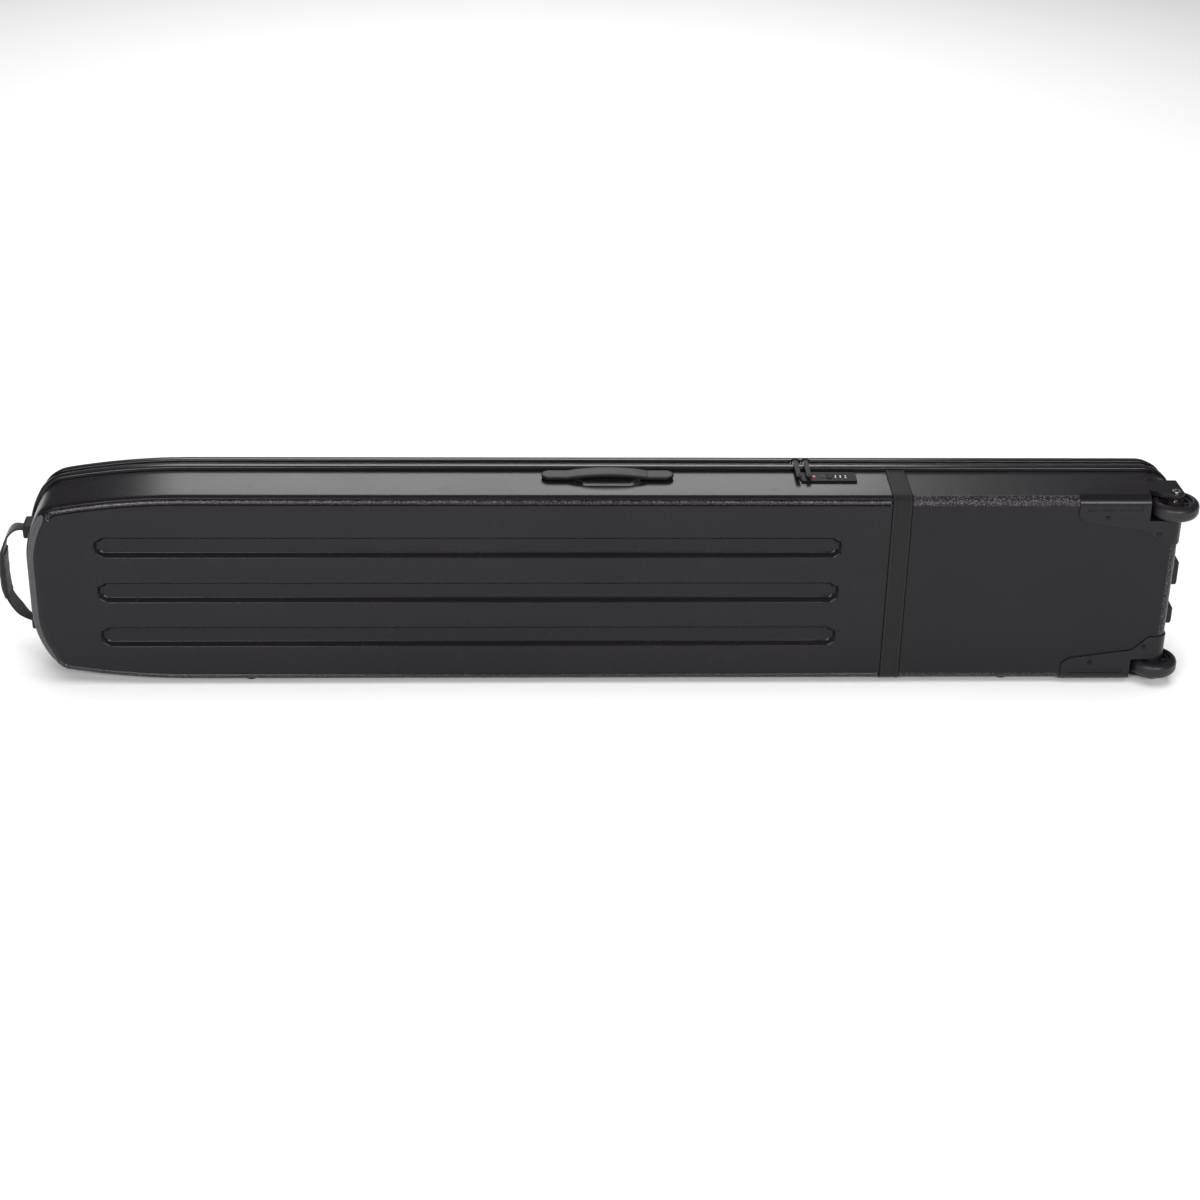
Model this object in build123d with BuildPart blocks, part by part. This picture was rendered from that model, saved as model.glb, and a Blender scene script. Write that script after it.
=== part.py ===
from build123d import *
import math
import os

# Hard-shell snowboard case with wheels, standing on its long narrow edge.
# +X runs from the nose to the wheeled tail, +Y from the deep tub's big face to the thin lid,
# +Z up across the width of the case. The origin is at the centre of the bottom of its box.
# All sizes are in millimetres.

# Case body
CASE_LENGTH = 1700.0       # nose end to tail end, without the grab loop and the wheels
CASE_WIDTH = 306.6         # across the big face
TAIL_X = 860.7
BASE_Z = 6.0               # underside of the shell above the floor
FRONT_Y = -68.0            # the tub's big face
SEAM_Y = 25.5              # where the tub's wall ends and the raised rim starts
BACK_Y = 87.0              # the lid's outer face
WALL = 3.0
LINING = 1.5
EDGE_RADIUS = 13.0         # rounded edge round the tub's big face
LID_EDGE_RADIUS = 20.0
TAIL_CORNER_RADIUS = 45.0
SPLIT_X = 444.7            # joint between the nose tub and the tail tub
BAND_WIDTH = 28.0
BAND_THICKNESS = 1.2

# The nose narrows along a long shoulder, a tight corner and a blunt brow
SHOULDER_RADIUS = 1045.0
CORNER_RADIUS = 45.0
BROW_RADIUS = 150.0
SHOULDER_TURN = 10.2
CORNER_TURN = 60.0

# Raised rims and zip
TUB_RIM_WIDTH = 11.5
TUB_RIM_PROUD = 6.0
LID_RIM_START_Y = 56.0
LID_RIM_WIDTH = 7.0
LID_RIM_PROUD = 2.5
TUB_RIM_ROUNDING = 3.0
LID_RIM_ROUNDING = 2.0
RIM_DEPTH = 3.0            # how far a rim reaches inward from the shell's outer surface
ZIP_Y = 46.5               # middle of the zip, and the fold of the hinge strip
ZIP_GAP = 0.7              # half the gap between the two coils
TAPE_THICKNESS = 1.0
COIL_SIZE = 2.4
FOLD_GAP = 0.8             # half the gap between the two leaves of the hinge strip
LEAF_LEVEL = -1.0          # outer face of the hinge strip, from the shell's outer surface
TAPE_LEVEL = -2.0          # outer face of the zip tape, from the shell's outer surface
HINGE_START_X = -560.0
HINGE_END_X = 790.0
ZIP_START_X = -672.0       # where the coils end, clear of each other as the lid folds back
ZIP_END_X = 832.0

# Three channels moulded into the big face
CHANNEL_START_X = -736.9
CHANNEL_END_X = 360.2
CHANNEL_HEIGHT = 33.0
CHANNEL_DEPTH = 8.0
CHANNEL_PITCH = 74.5
CHANNEL_MIDDLE_Z = 156.9
CHANNEL_SLOPE = 32.0
CHANNEL_END_CUT = 14.0
CHANNEL_END_DROP = 8.5

# Wheels and their corner housings
WHEEL_X = 851.0
WHEEL_Y = -51.0
WHEEL_INSET = 21.0         # wheel's middle plane below the shell's top surface
WHEEL_RADIUS = 36.0
WHEEL_WIDTH = 24.0
TYRE_DEPTH = 11.0
HUB_RADIUS = 12.5
BEARING_RADIUS = 11.0
BEARING_WIDTH = 7.0
AXLE_RADIUS = 4.0
AXLE_FIT = 0.05
HOUSING_SKIN = 2.5
POCKET_WALL = 3.0
POCKET_X = 812.0
POCKET_Y = -13.0
POCKET_DEPTH = 36.0
SHELF_THICKNESS = 8.0
ARM_THICKNESS = 6.0
ARM_TIP_RADIUS = 12.0
BOLT_HEAD_RADIUS = 6.5
BOLT_HEAD_HEIGHT = 3.0
BOLT_HEAD_CHAMFER = 0.8
HEX_SOCKET_RADIUS = 3.0
HEX_SOCKET_DEPTH = 4.0
NUT_RADIUS = 5.5
NUT_LENGTH = 6.0
SPACER_RADIUS = 6.0
TYRE_ROUNDING = 9.0
HUB_RING_WALL = 4.0
HUB_RING_WIDTH = 15.0
SPOKE_COUNT = 5
SPOKE_THICKNESS = 5.0
SPOKE_WIDTH = 11.0
SCREW_RADIUS = 1.5
SCREW_HEAD_RADIUS = 3.6
SCREW_HEAD_HEIGHT = 1.6
SCREW_DOME = 1.0
HOUSING_START_X = 706.0
HOUSING_SLOT_LENGTH = 80.0
HOUSING_SLOT_HEIGHT = 6.5
HOUSING_SLOT_DEPTH = 1.5

# Feet
TAIL_FOOT_REACH = 26.3     # level with the wheels, so that the case can stand on its tail
TAIL_FOOT_Z = ((67.0, 94.0), (134.0, 173.0))
TAIL_FOOT_Y = (-1.0, 23.0)
SIDE_FOOT_RADIUS = 11.0
SIDE_FOOT_Y = -42.0
SIDE_FOOT_X = (-520.0, 620.0)
TAIL_FOOT_ROUNDING = 4.0
SIDE_FOOT_CHAMFER = 1.0

# Carry handle
HANDLE_X = 14.4
HANDLE_Y = 0.8
HANDLE_LENGTH = 195.7
HANDLE_WIDTH = 28.0
HANDLE_THICKNESS = 5.0
HANDLE_STAND = 2.0         # gap between the end pads and the shell
HANDLE_RISE = 5.0          # crest of the grip above the end pads
HANDLE_PAD = 38.0
POST_SPACING = 155.0
POST_RADIUS = 4.0
BUSH_RADIUS = 6.5
BUSH_FLANGE_RADIUS = 10.0
BUSH_FLANGE_THICKNESS = 1.2
COLLAR_RADIUS = 7.0
COLLAR_THICKNESS = 1.8
COLLAR_GAP = 1.2           # between the lifted collars and the bushes above them
HANDLE_TRAVEL = 12.0
HANDLE_ROUNDING = 1.5
DISH_Y = -3.5
DISH_LENGTH = 104.0
DISH_WIDTH = 42.0
DISH_DEPTH = 10.0
DISH_SLOPE = 30.0

# Combination lock
LOCK_X = 339.8
LOCK_Y = -0.2
LOCK_LENGTH = 87.0
LOCK_WIDTH = 30.0
LOCK_PLATE = 3.0
LOCK_BOX_LENGTH = 62.0
LOCK_BOX_WIDTH = 22.0
LOCK_BOX_DEPTH = 15.0
DIAL_X = (352.2, 359.5, 366.8)
DIAL_RADIUS = 8.0
DIAL_WIDTH = 4.4
DIAL_PROUD = 1.0
DIAL_SHAFT_RADIUS = 1.5
DIAL_SHAFT_LENGTH = 21.0
DIAL_CHAMFER = 0.4
DIAL_NOTCH_WIDTH = 0.9
DIAL_NOTCH_DEPTH = 0.4
CYLINDER_X = 333.1
CYLINDER_RADIUS = 4.0
INDICATOR_X = 320.3
INDICATOR_RADIUS = 2.6
BUTTON_X = 342.6
BUTTON_LENGTH = 7.0
BUTTON_WIDTH = 14.0
BUTTON_PROUD = 1.2
BUTTON_HEIGHT = 3.6
BUTTON_ROUNDING = 0.5
BUTTON_GAP = 0.4
BUTTON_WELL = 5.0
BUTTON_GROOVES = (-1.6, 1.6)
BUTTON_GROOVE_TURN = 18.0
PLATE_SLANT = 5.0          # the plate's end by the sliders leans by this much
PLATE_CORNER = 1.5
PLATE_ROUNDING = 0.7
PULL_DOCK_LENGTH = 14.0    # shallow recesses in the plate that take the tips of the pulls
PULL_DOCK_DEPTH = 1.2
CYLINDER_LENGTH = 9.9
CYLINDER_PROUD = 0.4
KEY_SLOT_LENGTH = 5.0
KEY_SLOT_WIDTH = 1.2
KEY_SLOT_DEPTH = 3.0
INDICATOR_SEAT = 2.0
INDICATOR_HEIGHT = 2.5
INDICATOR_ROUNDING = 0.4

# Zip sliders and their pulls
SLIDER_X = (297.0, 312.2)
SLIDER_LENGTH = 13.6
SLIDER_WIDTH = 13.0
SLIDER_PLATE = 1.2
PULL_LENGTH = 58.0
PULL_WIDTH = 7.2
PULL_THICKNESS = 2.0
PULL_CLEARANCE = 0.8       # between a resting pull and the rim below it
PULL_CORNER = 2.0
PULL_EYE_RADIUS = 1.5
PULL_EYE_INSET = 5.0
PULL_BARREL_RADIUS = 2.4
SLIDER_CORNER = 3.0
WEDGE_LENGTH = 5.0         # the slider's core that parts the two coils
WEDGE_GAP = 0.2
EAR_LENGTH = 5.0
EAR_ABOVE_PIN = 2.5

# Webbing grab loop on the nose
LOOP_Y = -10.0
LOOP_WIDTH = 36.0
LOOP_END_WIDTH = 20.0      # the webbing is folded narrower where it enters the anchors
LOOP_THICKNESS = 3.0
LOOP_MOUTH_X = -843.0
LOOP_TOP_Z = 236.0
LOOP_BOTTOM_Z = 84.0
LOOP_ROUTE = ((-860.0, 239.0), (-873.5, 222.0), (-880.0, 196.0), (-881.0, 160.0),
              (-880.0, 128.0), (-867.0, 105.0), (-853.0, 88.0))
LOOP_BEND = 9.0
SLEEVE_THICKNESS = 12.0
SLEEVE_OVERLAP = 2.0
SLEEVE_ROUNDING = 3.0
ANCHOR_LENGTH = 14.0
ANCHOR_WIDTH = 34.0
ANCHOR_HEIGHT = 20.0
ANCHOR_SHIFT = 5.0
ANCHOR_ROUNDING = 3.0
ANCHOR_MOUTH = 10.0
ANCHOR_SLOT_HEIGHT = 8.0
ANCHOR_SLOT_SPARE = 4.0

# Board straps inside the tub
STRAP_X = (-360.0, 250.0)
STRAP_Y = 16.0
STRAP_WIDTH = 38.0
STRAP_THICKNESS = 1.6
BUCKLE_Z = 120.0
BUCKLE_WIDTH = 50.0
BUCKLE_LENGTH = 38.0
BUCKLE_HEIGHT = 9.0
BUCKLE_ROUNDING = 6.0
BUCKLE_WALL = 2.0          # above and below the buckle's throat
BUCKLE_CHEEK = 6.0
BUCKLE_THROAT = 25.0
BUCKLE_WINDOW = 14.0
CLIP_LENGTH = 12.0
PRONG_LENGTH = 22.0
PRONG_HALF = 2.0
PRONG_SPACING = 16.0
STRAP_PLATE_HALF = 24.0
STRAP_PLATE_DEPTH = (-9.0, 7.0)
SLIDE_BAR_Z = 215.0
SLIDE_BAR_SPARE = 8.0
SLIDE_BAR_THICKNESS = 6.0
SLIDE_BAR_HEIGHT = 14.0
SLIDE_BAR_ROUNDING = 3.0

NOSE_X = TAIL_X - CASE_LENGTH
TOP_Z = BASE_Z + CASE_WIDTH
MIDDLE_Z = BASE_Z + CASE_WIDTH / 2
TUB_RIM_END_Y = SEAM_Y + TUB_RIM_WIDTH
LID_RIM_END_Y = LID_RIM_START_Y + LID_RIM_WIDTH
WHEEL_Z = TOP_Z - WHEEL_INSET
SHELF_Z = TOP_Z - POCKET_DEPTH
PULL_Z = TOP_Z + TUB_RIM_PROUD + PULL_CLEARANCE
MID_PLANE = Plane.XY.offset(MIDDLE_Z)
BEYOND = 50.0              # how far a cutting solid reaches past what it cuts

os.makedirs("parts", exist_ok=True)


def turn(degrees):
    """Return the sine and cosine of an angle in degrees."""
    return math.sin(math.radians(degrees)), math.cos(math.radians(degrees))


def case_outline(grow):
    """Draw the case's outline in X and Z, moved outward by grow, as lines and tangent arcs."""
    sine_1, cosine_1 = turn(SHOULDER_TURN)
    sine_2, cosine_2 = turn(CORNER_TURN)
    step_1 = SHOULDER_RADIUS - CORNER_RADIUS
    step_2 = CORNER_RADIUS - BROW_RADIUS
    shoulder_x = NOSE_X + BROW_RADIUS + step_1 * sine_1 + step_2 * sine_2
    corner_x = shoulder_x - step_1 * sine_1
    brow_x = corner_x - step_2 * sine_2
    half = CASE_WIDTH / 2
    shoulder_rise = half - SHOULDER_RADIUS
    corner_rise = shoulder_rise + step_1 * cosine_1
    brow_rise = corner_rise + step_2 * cosine_2
    tail_x = TAIL_X - TAIL_CORNER_RADIUS
    tail_rise = half - TAIL_CORNER_RADIUS
    with BuildLine() as outline:
        for side in (-1, 1):
            z_of = [MIDDLE_Z + side * rise for rise in (shoulder_rise, corner_rise, brow_rise)]
            edge_z = MIDDLE_Z + side * (half + grow)
            CenterArc((shoulder_x, z_of[0]), SHOULDER_RADIUS + grow, side * 90,
                      side * SHOULDER_TURN)
            CenterArc((corner_x, z_of[1]), CORNER_RADIUS + grow, side * (90 + SHOULDER_TURN),
                      side * (CORNER_TURN - SHOULDER_TURN))
            CenterArc((brow_x, z_of[2]), BROW_RADIUS + grow, side * (90 + CORNER_TURN),
                      side * (90 - CORNER_TURN))
            Line((shoulder_x, edge_z), (tail_x, edge_z))
            CenterArc((tail_x, MIDDLE_Z + side * tail_rise), TAIL_CORNER_RADIUS + grow,
                      side * 90, -side * 90)
        Line((NOSE_X - grow, MIDDLE_Z - brow_rise), (NOSE_X - grow, MIDDLE_Z + brow_rise))
        Line((TAIL_X + grow, MIDDLE_Z - tail_rise), (TAIL_X + grow, MIDDLE_Z + tail_rise))
    make_face(outline.edges())


def outline_block(grow, start_y, end_y, mode=Mode.ADD):
    """Extrude the case's outline along Y between two depths."""
    with BuildSketch(Plane.XZ.offset(-end_y)) as section:
        case_outline(grow)
    return extrude(section.sketch, amount=end_y - start_y, mode=mode)


def outline_ring(outer, inner, start_y, end_y):
    """Extrude a ring that follows the case's outline."""
    outline_block(outer, start_y, end_y)
    outline_block(inner, start_y - 1, end_y + 1, mode=Mode.SUBTRACT)


def tub_block(grow, end_y, mode=Mode.ADD):
    """The tub's solid envelope moved outward by grow, with its rounded front edge."""
    with BuildPart(mode=Mode.PRIVATE) as block:
        outline_block(grow, FRONT_Y - grow, end_y)
        fillet(block.edges().group_by(Axis.Y)[0], EDGE_RADIUS + grow)
    return add(block.part, mode=mode)


def lid_block(grow, start_y, mode=Mode.ADD):
    """The lid's solid envelope moved outward by grow, with its rounded back edge."""
    with BuildPart(mode=Mode.PRIVATE) as block:
        outline_block(grow, start_y, BACK_Y + grow)
        fillet(block.edges().group_by(Axis.Y)[-1], LID_EDGE_RADIUS + grow)
    return add(block.part, mode=mode)


def channels(grow, mode):
    """The three tapered channels of the big face, moved outward by grow."""
    plane = Plane(origin=(0, FRONT_Y, 0), x_dir=(1, 0, 0), z_dir=(0, 1, 0))
    half = CHANNEL_HEIGHT / 2 + grow
    start = CHANNEL_START_X - grow
    end = CHANNEL_END_X + grow
    with BuildSketch(plane) as mouths:
        for step in (-1, 0, 1):
            middle = -(CHANNEL_MIDDLE_Z + step * CHANNEL_PITCH)
            with BuildLine():
                Polyline(
                    (start + CHANNEL_END_CUT, middle + half),
                    (end - CHANNEL_END_CUT, middle + half),
                    (end, middle + half - CHANNEL_END_DROP),
                    (end, middle - half + CHANNEL_END_DROP),
                    (end - CHANNEL_END_CUT, middle - half),
                    (start + CHANNEL_END_CUT, middle - half),
                    (start, middle - half + CHANNEL_END_DROP),
                    (start, middle + half - CHANNEL_END_DROP),
                    close=True,
                )
            make_face()
    extrude(mouths.sketch, amount=CHANNEL_DEPTH + grow, taper=CHANNEL_SLOPE, mode=mode)


def corner_box(low, high, mode):
    """A box given by its two opposite corners."""
    size = [high[i] - low[i] for i in range(3)]
    with Locations([((low[0] + high[0]) / 2, (low[1] + high[1]) / 2, (low[2] + high[2]) / 2)]):
        Box(*size, mode=mode)


def wheel_pockets(grow, mode):
    """The two tail corners that the wheel housings take out of the tub."""
    for side in (-1, 1):
        inner = MIDDLE_Z + side * (CASE_WIDTH / 2 - POCKET_DEPTH - SHELF_THICKNESS - grow)
        outer = MIDDLE_Z + side * CASE_WIDTH
        low = (POCKET_X - POCKET_WALL - grow, FRONT_Y - BEYOND, min(inner, outer))
        high = (TAIL_X + BEYOND, POCKET_Y + POCKET_WALL + grow, max(inner, outer))
        corner_box(low, high, mode)


def dish(grow, mode):
    """The finger dish below the carry handle, tapering down into the top wall."""
    with BuildSketch(Plane.XY.offset(TOP_Z).rotated((180, 0, 0))) as mouth:
        with Locations((HANDLE_X, -DISH_Y)):
            SlotOverall(DISH_LENGTH + 2 * grow, DISH_WIDTH + 2 * grow)
    extrude(mouth.sketch, amount=DISH_DEPTH + grow, taper=DISH_SLOPE, mode=mode)


def top_wall_cuts():
    """Cut the lock's window and the handle's bush holes through the top wall."""
    with Locations((LOCK_X, LOCK_Y, TOP_Z)):
        Box(LOCK_BOX_LENGTH, LOCK_BOX_WIDTH, BEYOND, mode=Mode.SUBTRACT)
    with BuildSketch(Plane.XY.offset(TOP_Z + 1)) as holes:
        for side in (-1, 1):
            with Locations((HANDLE_X + side * POST_SPACING / 2, HANDLE_Y)):
                Circle(BUSH_RADIUS)
    extrude(holes.sketch, amount=-20, mode=Mode.SUBTRACT)


# Nose tub: glossy moulded shell from the nose to the banded joint
with BuildPart() as nose_tub:
    tub_block(0, SEAM_Y)
    tub_block(-WALL, SEAM_Y + 1, Mode.SUBTRACT)
    channels(WALL, Mode.ADD)
    channels(0, Mode.SUBTRACT)
    dish(WALL, Mode.ADD)
    dish(0, Mode.SUBTRACT)
    top_wall_cuts()
    split(bisect_by=Plane.YZ.offset(SPLIT_X), keep=Keep.BOTTOM)
nose_tub.part.label = "nose_tub"
export_step(nose_tub.part, "parts/nose_tub.step")

# Tail tub: textured shell from the joint to the wheels
with BuildPart() as tail_tub:
    tub_block(0, SEAM_Y)
    tub_block(-WALL, SEAM_Y + 1, Mode.SUBTRACT)
    wheel_pockets(0, Mode.SUBTRACT)
    split(bisect_by=Plane.YZ.offset(SPLIT_X), keep=Keep.TOP)
tail_tub.part.label = "tail_tub"
export_step(tail_tub.part, "parts/tail_tub.step")

# Lining of the tub, drawn over the backs of the channels and round the wheel pockets
with BuildPart() as tub_lining:
    tub_block(-WALL, SEAM_Y)
    tub_block(-WALL - LINING, SEAM_Y + 1, Mode.SUBTRACT)
    channels(WALL + LINING, Mode.ADD)
    channels(WALL, Mode.SUBTRACT)
    dish(WALL + LINING, Mode.ADD)
    dish(WALL, Mode.SUBTRACT)
    top_wall_cuts()
    wheel_pockets(0, Mode.SUBTRACT)
    with BuildPart(mode=Mode.PRIVATE) as keep:
        tub_block(-WALL, SEAM_Y)
    add(keep.part, mode=Mode.INTERSECT)
tub_lining.part.label = "tub_lining"
export_step(tub_lining.part, "parts/tub_lining.step")

# Webbing band over the joint between the two tubs
with BuildPart() as seam_band:
    tub_block(BAND_THICKNESS, SEAM_Y)
    tub_block(0, SEAM_Y + 1, Mode.SUBTRACT)
    with Locations((SPLIT_X, 0, MIDDLE_Z)):
        Box(BAND_WIDTH, 2 * CASE_WIDTH, 2 * CASE_WIDTH, mode=Mode.INTERSECT)
seam_band.part.label = "seam_band"
export_step(seam_band.part, "parts/seam_band.step")


def rounded_ring(outer, inner, start_y, end_y, radius):
    """Extrude a ring along the case's outline with both outer edges rounded."""
    with BuildPart(mode=Mode.PRIVATE) as ring:
        outline_block(outer, start_y, end_y)
        rims = ring.edges().group_by(Axis.Y)
        fillet(rims[0] + rims[-1], radius)
        outline_block(inner, start_y - 1, end_y + 1, mode=Mode.SUBTRACT)
    add(ring.part)


def hinge_window(start_x, end_x, mode):
    """A stretch of the bottom side, where the fabric hinge takes the zip's place."""
    corner_box((start_x, SEAM_Y, BASE_Z - BEYOND), (end_x, LID_RIM_END_Y, BASE_Z + CORNER_RADIUS), mode)


# Raised rims that carry the zip
with BuildPart() as tub_rim:
    rounded_ring(TUB_RIM_PROUD, -RIM_DEPTH, SEAM_Y, TUB_RIM_END_Y, TUB_RIM_ROUNDING)
tub_rim.part.label = "tub_rim"
export_step(tub_rim.part, "parts/tub_rim.step")

with BuildPart() as lid_rim:
    rounded_ring(LID_RIM_PROUD, -RIM_DEPTH, LID_RIM_START_Y, LID_RIM_END_Y, LID_RIM_ROUNDING)
lid_rim.part.label = "lid_rim"
export_step(lid_rim.part, "parts/lid_rim.step")

# Zip tapes, zip coils and hinge leaves: one of each on the tub and one on the lid
SIDES = {
    "tub": (TUB_RIM_END_Y, ZIP_Y - ZIP_GAP, ZIP_Y - ZIP_GAP - COIL_SIZE, ZIP_Y - FOLD_GAP),
    "lid": (LID_RIM_START_Y, ZIP_Y + ZIP_GAP, ZIP_Y + ZIP_GAP + COIL_SIZE, ZIP_Y + FOLD_GAP),
}
for side_name, (rim_y, edge_y, coil_y, fold_y) in SIDES.items():
    with BuildPart() as zip_tape:
        outline_ring(TAPE_LEVEL, TAPE_LEVEL - TAPE_THICKNESS, min(rim_y, edge_y), max(rim_y, edge_y))
        hinge_window(HINGE_START_X, HINGE_END_X, Mode.SUBTRACT)
    zip_tape.part.label = side_name + "_zip_tape"
    export_step(zip_tape.part, "parts/" + side_name + "_zip_tape.step")

    with BuildPart() as zip_coil:
        outline_ring(TAPE_LEVEL + COIL_SIZE, TAPE_LEVEL, min(coil_y, edge_y), max(coil_y, edge_y))
        hinge_window(ZIP_START_X, ZIP_END_X, Mode.SUBTRACT)
    zip_coil.part.label = side_name + "_zip_coil"
    export_step(zip_coil.part, "parts/" + side_name + "_zip_coil.step")

    with BuildPart() as hinge_leaf:
        outline_ring(LEAF_LEVEL, LEAF_LEVEL - TAPE_THICKNESS, min(rim_y, fold_y), max(rim_y, fold_y))
        hinge_window(HINGE_START_X, HINGE_END_X, Mode.INTERSECT)
    hinge_leaf.part.label = side_name + "_hinge_leaf"
    export_step(hinge_leaf.part, "parts/" + side_name + "_hinge_leaf.step")

# Lid: thin shell with a generously rounded outer edge, and its lining
with BuildPart() as lid_shell:
    lid_block(0, LID_RIM_END_Y)
    lid_block(-WALL, LID_RIM_END_Y - 1, Mode.SUBTRACT)
lid_shell.part.label = "lid_shell"
export_step(lid_shell.part, "parts/lid_shell.step")

with BuildPart() as lid_lining:
    lid_block(-WALL, LID_RIM_START_Y)
    lid_block(-WALL - LINING, LID_RIM_START_Y - 1, Mode.SUBTRACT)
lid_lining.part.label = "lid_lining"
export_step(lid_lining.part, "parts/lid_lining.step")

# Wheel housings: a skin over the tail corner, a pocket for the wheel and an arm over it
with BuildPart() as housing_region:
    with BuildSketch(Plane.XZ.offset(-FRONT_Y - EDGE_RADIUS)):
        with BuildLine():
            Polyline(
                (HOUSING_START_X, TOP_Z + 15),
                (HOUSING_START_X, TOP_Z - 30),
                (HOUSING_START_X + 12, TOP_Z - 38.5),
                (HOUSING_START_X + 105, TOP_Z - 52),
                (HOUSING_START_X + 130, TOP_Z - 75),
                (HOUSING_START_X + 170, TOP_Z - 76),
                (HOUSING_START_X + 170, TOP_Z + 15),
                close=True,
            )
        make_face()
    extrude(amount=30)
    with BuildSketch(Plane.XY.offset(TOP_Z - EDGE_RADIUS)):
        with BuildLine():
            Polyline(
                (HOUSING_START_X, -85),
                (HOUSING_START_X, -54),
                (HOUSING_START_X + 28, -24),
                (HOUSING_START_X + 96, -13),
                (HOUSING_START_X + 120, 13),
                (HOUSING_START_X + 130, SEAM_Y),
                (HOUSING_START_X + 175, SEAM_Y),
                (HOUSING_START_X + 175, -85),
                close=True,
            )
        make_face()
    extrude(amount=30)
    corner_box((WHEEL_X, -85, TOP_Z - 76), (WHEEL_X + 30, SEAM_Y, TOP_Z + 15), Mode.ADD)
    corner_box((POCKET_X - POCKET_WALL, -85, SHELF_Z - SHELF_THICKNESS),
               (WHEEL_X + 30, POCKET_Y + POCKET_WALL, TOP_Z + 15), Mode.ADD)

with BuildPart() as tub_core:
    tub_block(0, SEAM_Y)
    wheel_pockets(0, Mode.SUBTRACT)

HOUSING_SCREWS = ((749.6, TOP_Z - 31.0), (829.0, TOP_Z - 58.0))
SLOT_X = HOUSING_START_X + 13
SLOT_Z = TOP_Z - 19.5
ARM_BACK_Y = POCKET_Y + POCKET_WALL
with BuildPart() as top_wheel_housing:
    tub_block(HOUSING_SKIN, SEAM_Y)
    add(housing_region.part, mode=Mode.INTERSECT)
    add(tub_core.part, mode=Mode.SUBTRACT)
    corner_box((POCKET_X, -120, SHELF_Z), (WHEEL_X + 60, POCKET_Y, TOP_Z + 15), Mode.SUBTRACT)
    with BuildSketch(Plane.XY.offset(TOP_Z - ARM_THICKNESS)):
        with BuildLine():
            Polyline(
                (POCKET_X - POCKET_WALL, ARM_BACK_Y),
                (POCKET_X - POCKET_WALL, ARM_BACK_Y - 30),
                (WHEEL_X - 0.6 * ARM_TIP_RADIUS, WHEEL_Y - 0.8 * ARM_TIP_RADIUS),
                (WHEEL_X + ARM_TIP_RADIUS, WHEEL_Y),
                (WHEEL_X + ARM_TIP_RADIUS - 3, ARM_BACK_Y),
                close=True,
            )
        make_face()
        with Locations((WHEEL_X, WHEEL_Y)):
            Circle(ARM_TIP_RADIUS)
    extrude(amount=ARM_THICKNESS + HOUSING_SKIN)
    with Locations((WHEEL_X, WHEEL_Y, MIDDLE_Z + CASE_WIDTH / 2)):
        Cylinder(AXLE_RADIUS, 3 * POCKET_DEPTH, mode=Mode.SUBTRACT)
    with Locations((WHEEL_X, WHEEL_Y, SHELF_Z - SHELF_THICKNESS)):
        Cylinder(NUT_RADIUS, 2 * NUT_LENGTH, mode=Mode.SUBTRACT)
    corner_box((SLOT_X, FRONT_Y - 2 * HOUSING_SKIN, SLOT_Z),
               (SLOT_X + HOUSING_SLOT_LENGTH, FRONT_Y - HOUSING_SKIN + HOUSING_SLOT_DEPTH,
                SLOT_Z + HOUSING_SLOT_HEIGHT), Mode.SUBTRACT)
    for screw_x, screw_z in HOUSING_SCREWS:
        with Locations(Location((screw_x, FRONT_Y, screw_z), (90, 0, 0))):
            Cylinder(SCREW_RADIUS, 4 * HOUSING_SKIN, mode=Mode.SUBTRACT)
top_wheel_housing.part.label = "top_wheel_housing"
export_step(top_wheel_housing.part, "parts/top_wheel_housing.step")

with BuildPart() as bottom_wheel_housing:
    mirror(top_wheel_housing.part, about=MID_PLANE)
bottom_wheel_housing.part.label = "bottom_wheel_housing"
export_step(bottom_wheel_housing.part, "parts/bottom_wheel_housing.step")

# Screws of the housings: domed heads on the skin, with their shanks through it
with BuildPart() as housing_screws:
    for screw_x, screw_z in HOUSING_SCREWS:
        with Locations(Location((screw_x, FRONT_Y - HOUSING_SKIN, screw_z), (90, 0, 0))):
            Cylinder(SCREW_HEAD_RADIUS, SCREW_HEAD_HEIGHT, align=(Align.CENTER, Align.CENTER, Align.MIN))
            Cylinder(SCREW_RADIUS, HOUSING_SKIN, align=(Align.CENTER, Align.CENTER, Align.MAX))
    fillet(housing_screws.edges().group_by(Axis.Y)[0], SCREW_DOME)
    mirror(about=MID_PLANE)
housing_screws.part.label = "housing_screws"
export_step(housing_screws.part, "parts/housing_screws.step")

# Axle bolts, with hex sockets in their heads, and the nuts set into the shelves
BOLT_SEAT_Z = TOP_Z + HOUSING_SKIN
BOLT_END_Z = SHELF_Z - SHELF_THICKNESS + 1
with BuildPart() as axle_bolts:
    with Locations((WHEEL_X, WHEEL_Y, BOLT_SEAT_Z)):
        Cylinder(BOLT_HEAD_RADIUS, BOLT_HEAD_HEIGHT, align=(Align.CENTER, Align.CENTER, Align.MIN))
        Cylinder(AXLE_RADIUS, BOLT_SEAT_Z - BOLT_END_Z, align=(Align.CENTER, Align.CENTER, Align.MAX))
    chamfer(axle_bolts.edges().group_by(Axis.Z)[-1], BOLT_HEAD_CHAMFER)
    with BuildSketch(Plane.XY.offset(BOLT_SEAT_Z + BOLT_HEAD_HEIGHT)):
        with Locations((WHEEL_X, WHEEL_Y)):
            RegularPolygon(HEX_SOCKET_RADIUS, 6)
    extrude(amount=-HEX_SOCKET_DEPTH, mode=Mode.SUBTRACT)
    mirror(about=MID_PLANE)
axle_bolts.part.label = "axle_bolts"
export_step(axle_bolts.part, "parts/axle_bolts.step")

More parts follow.
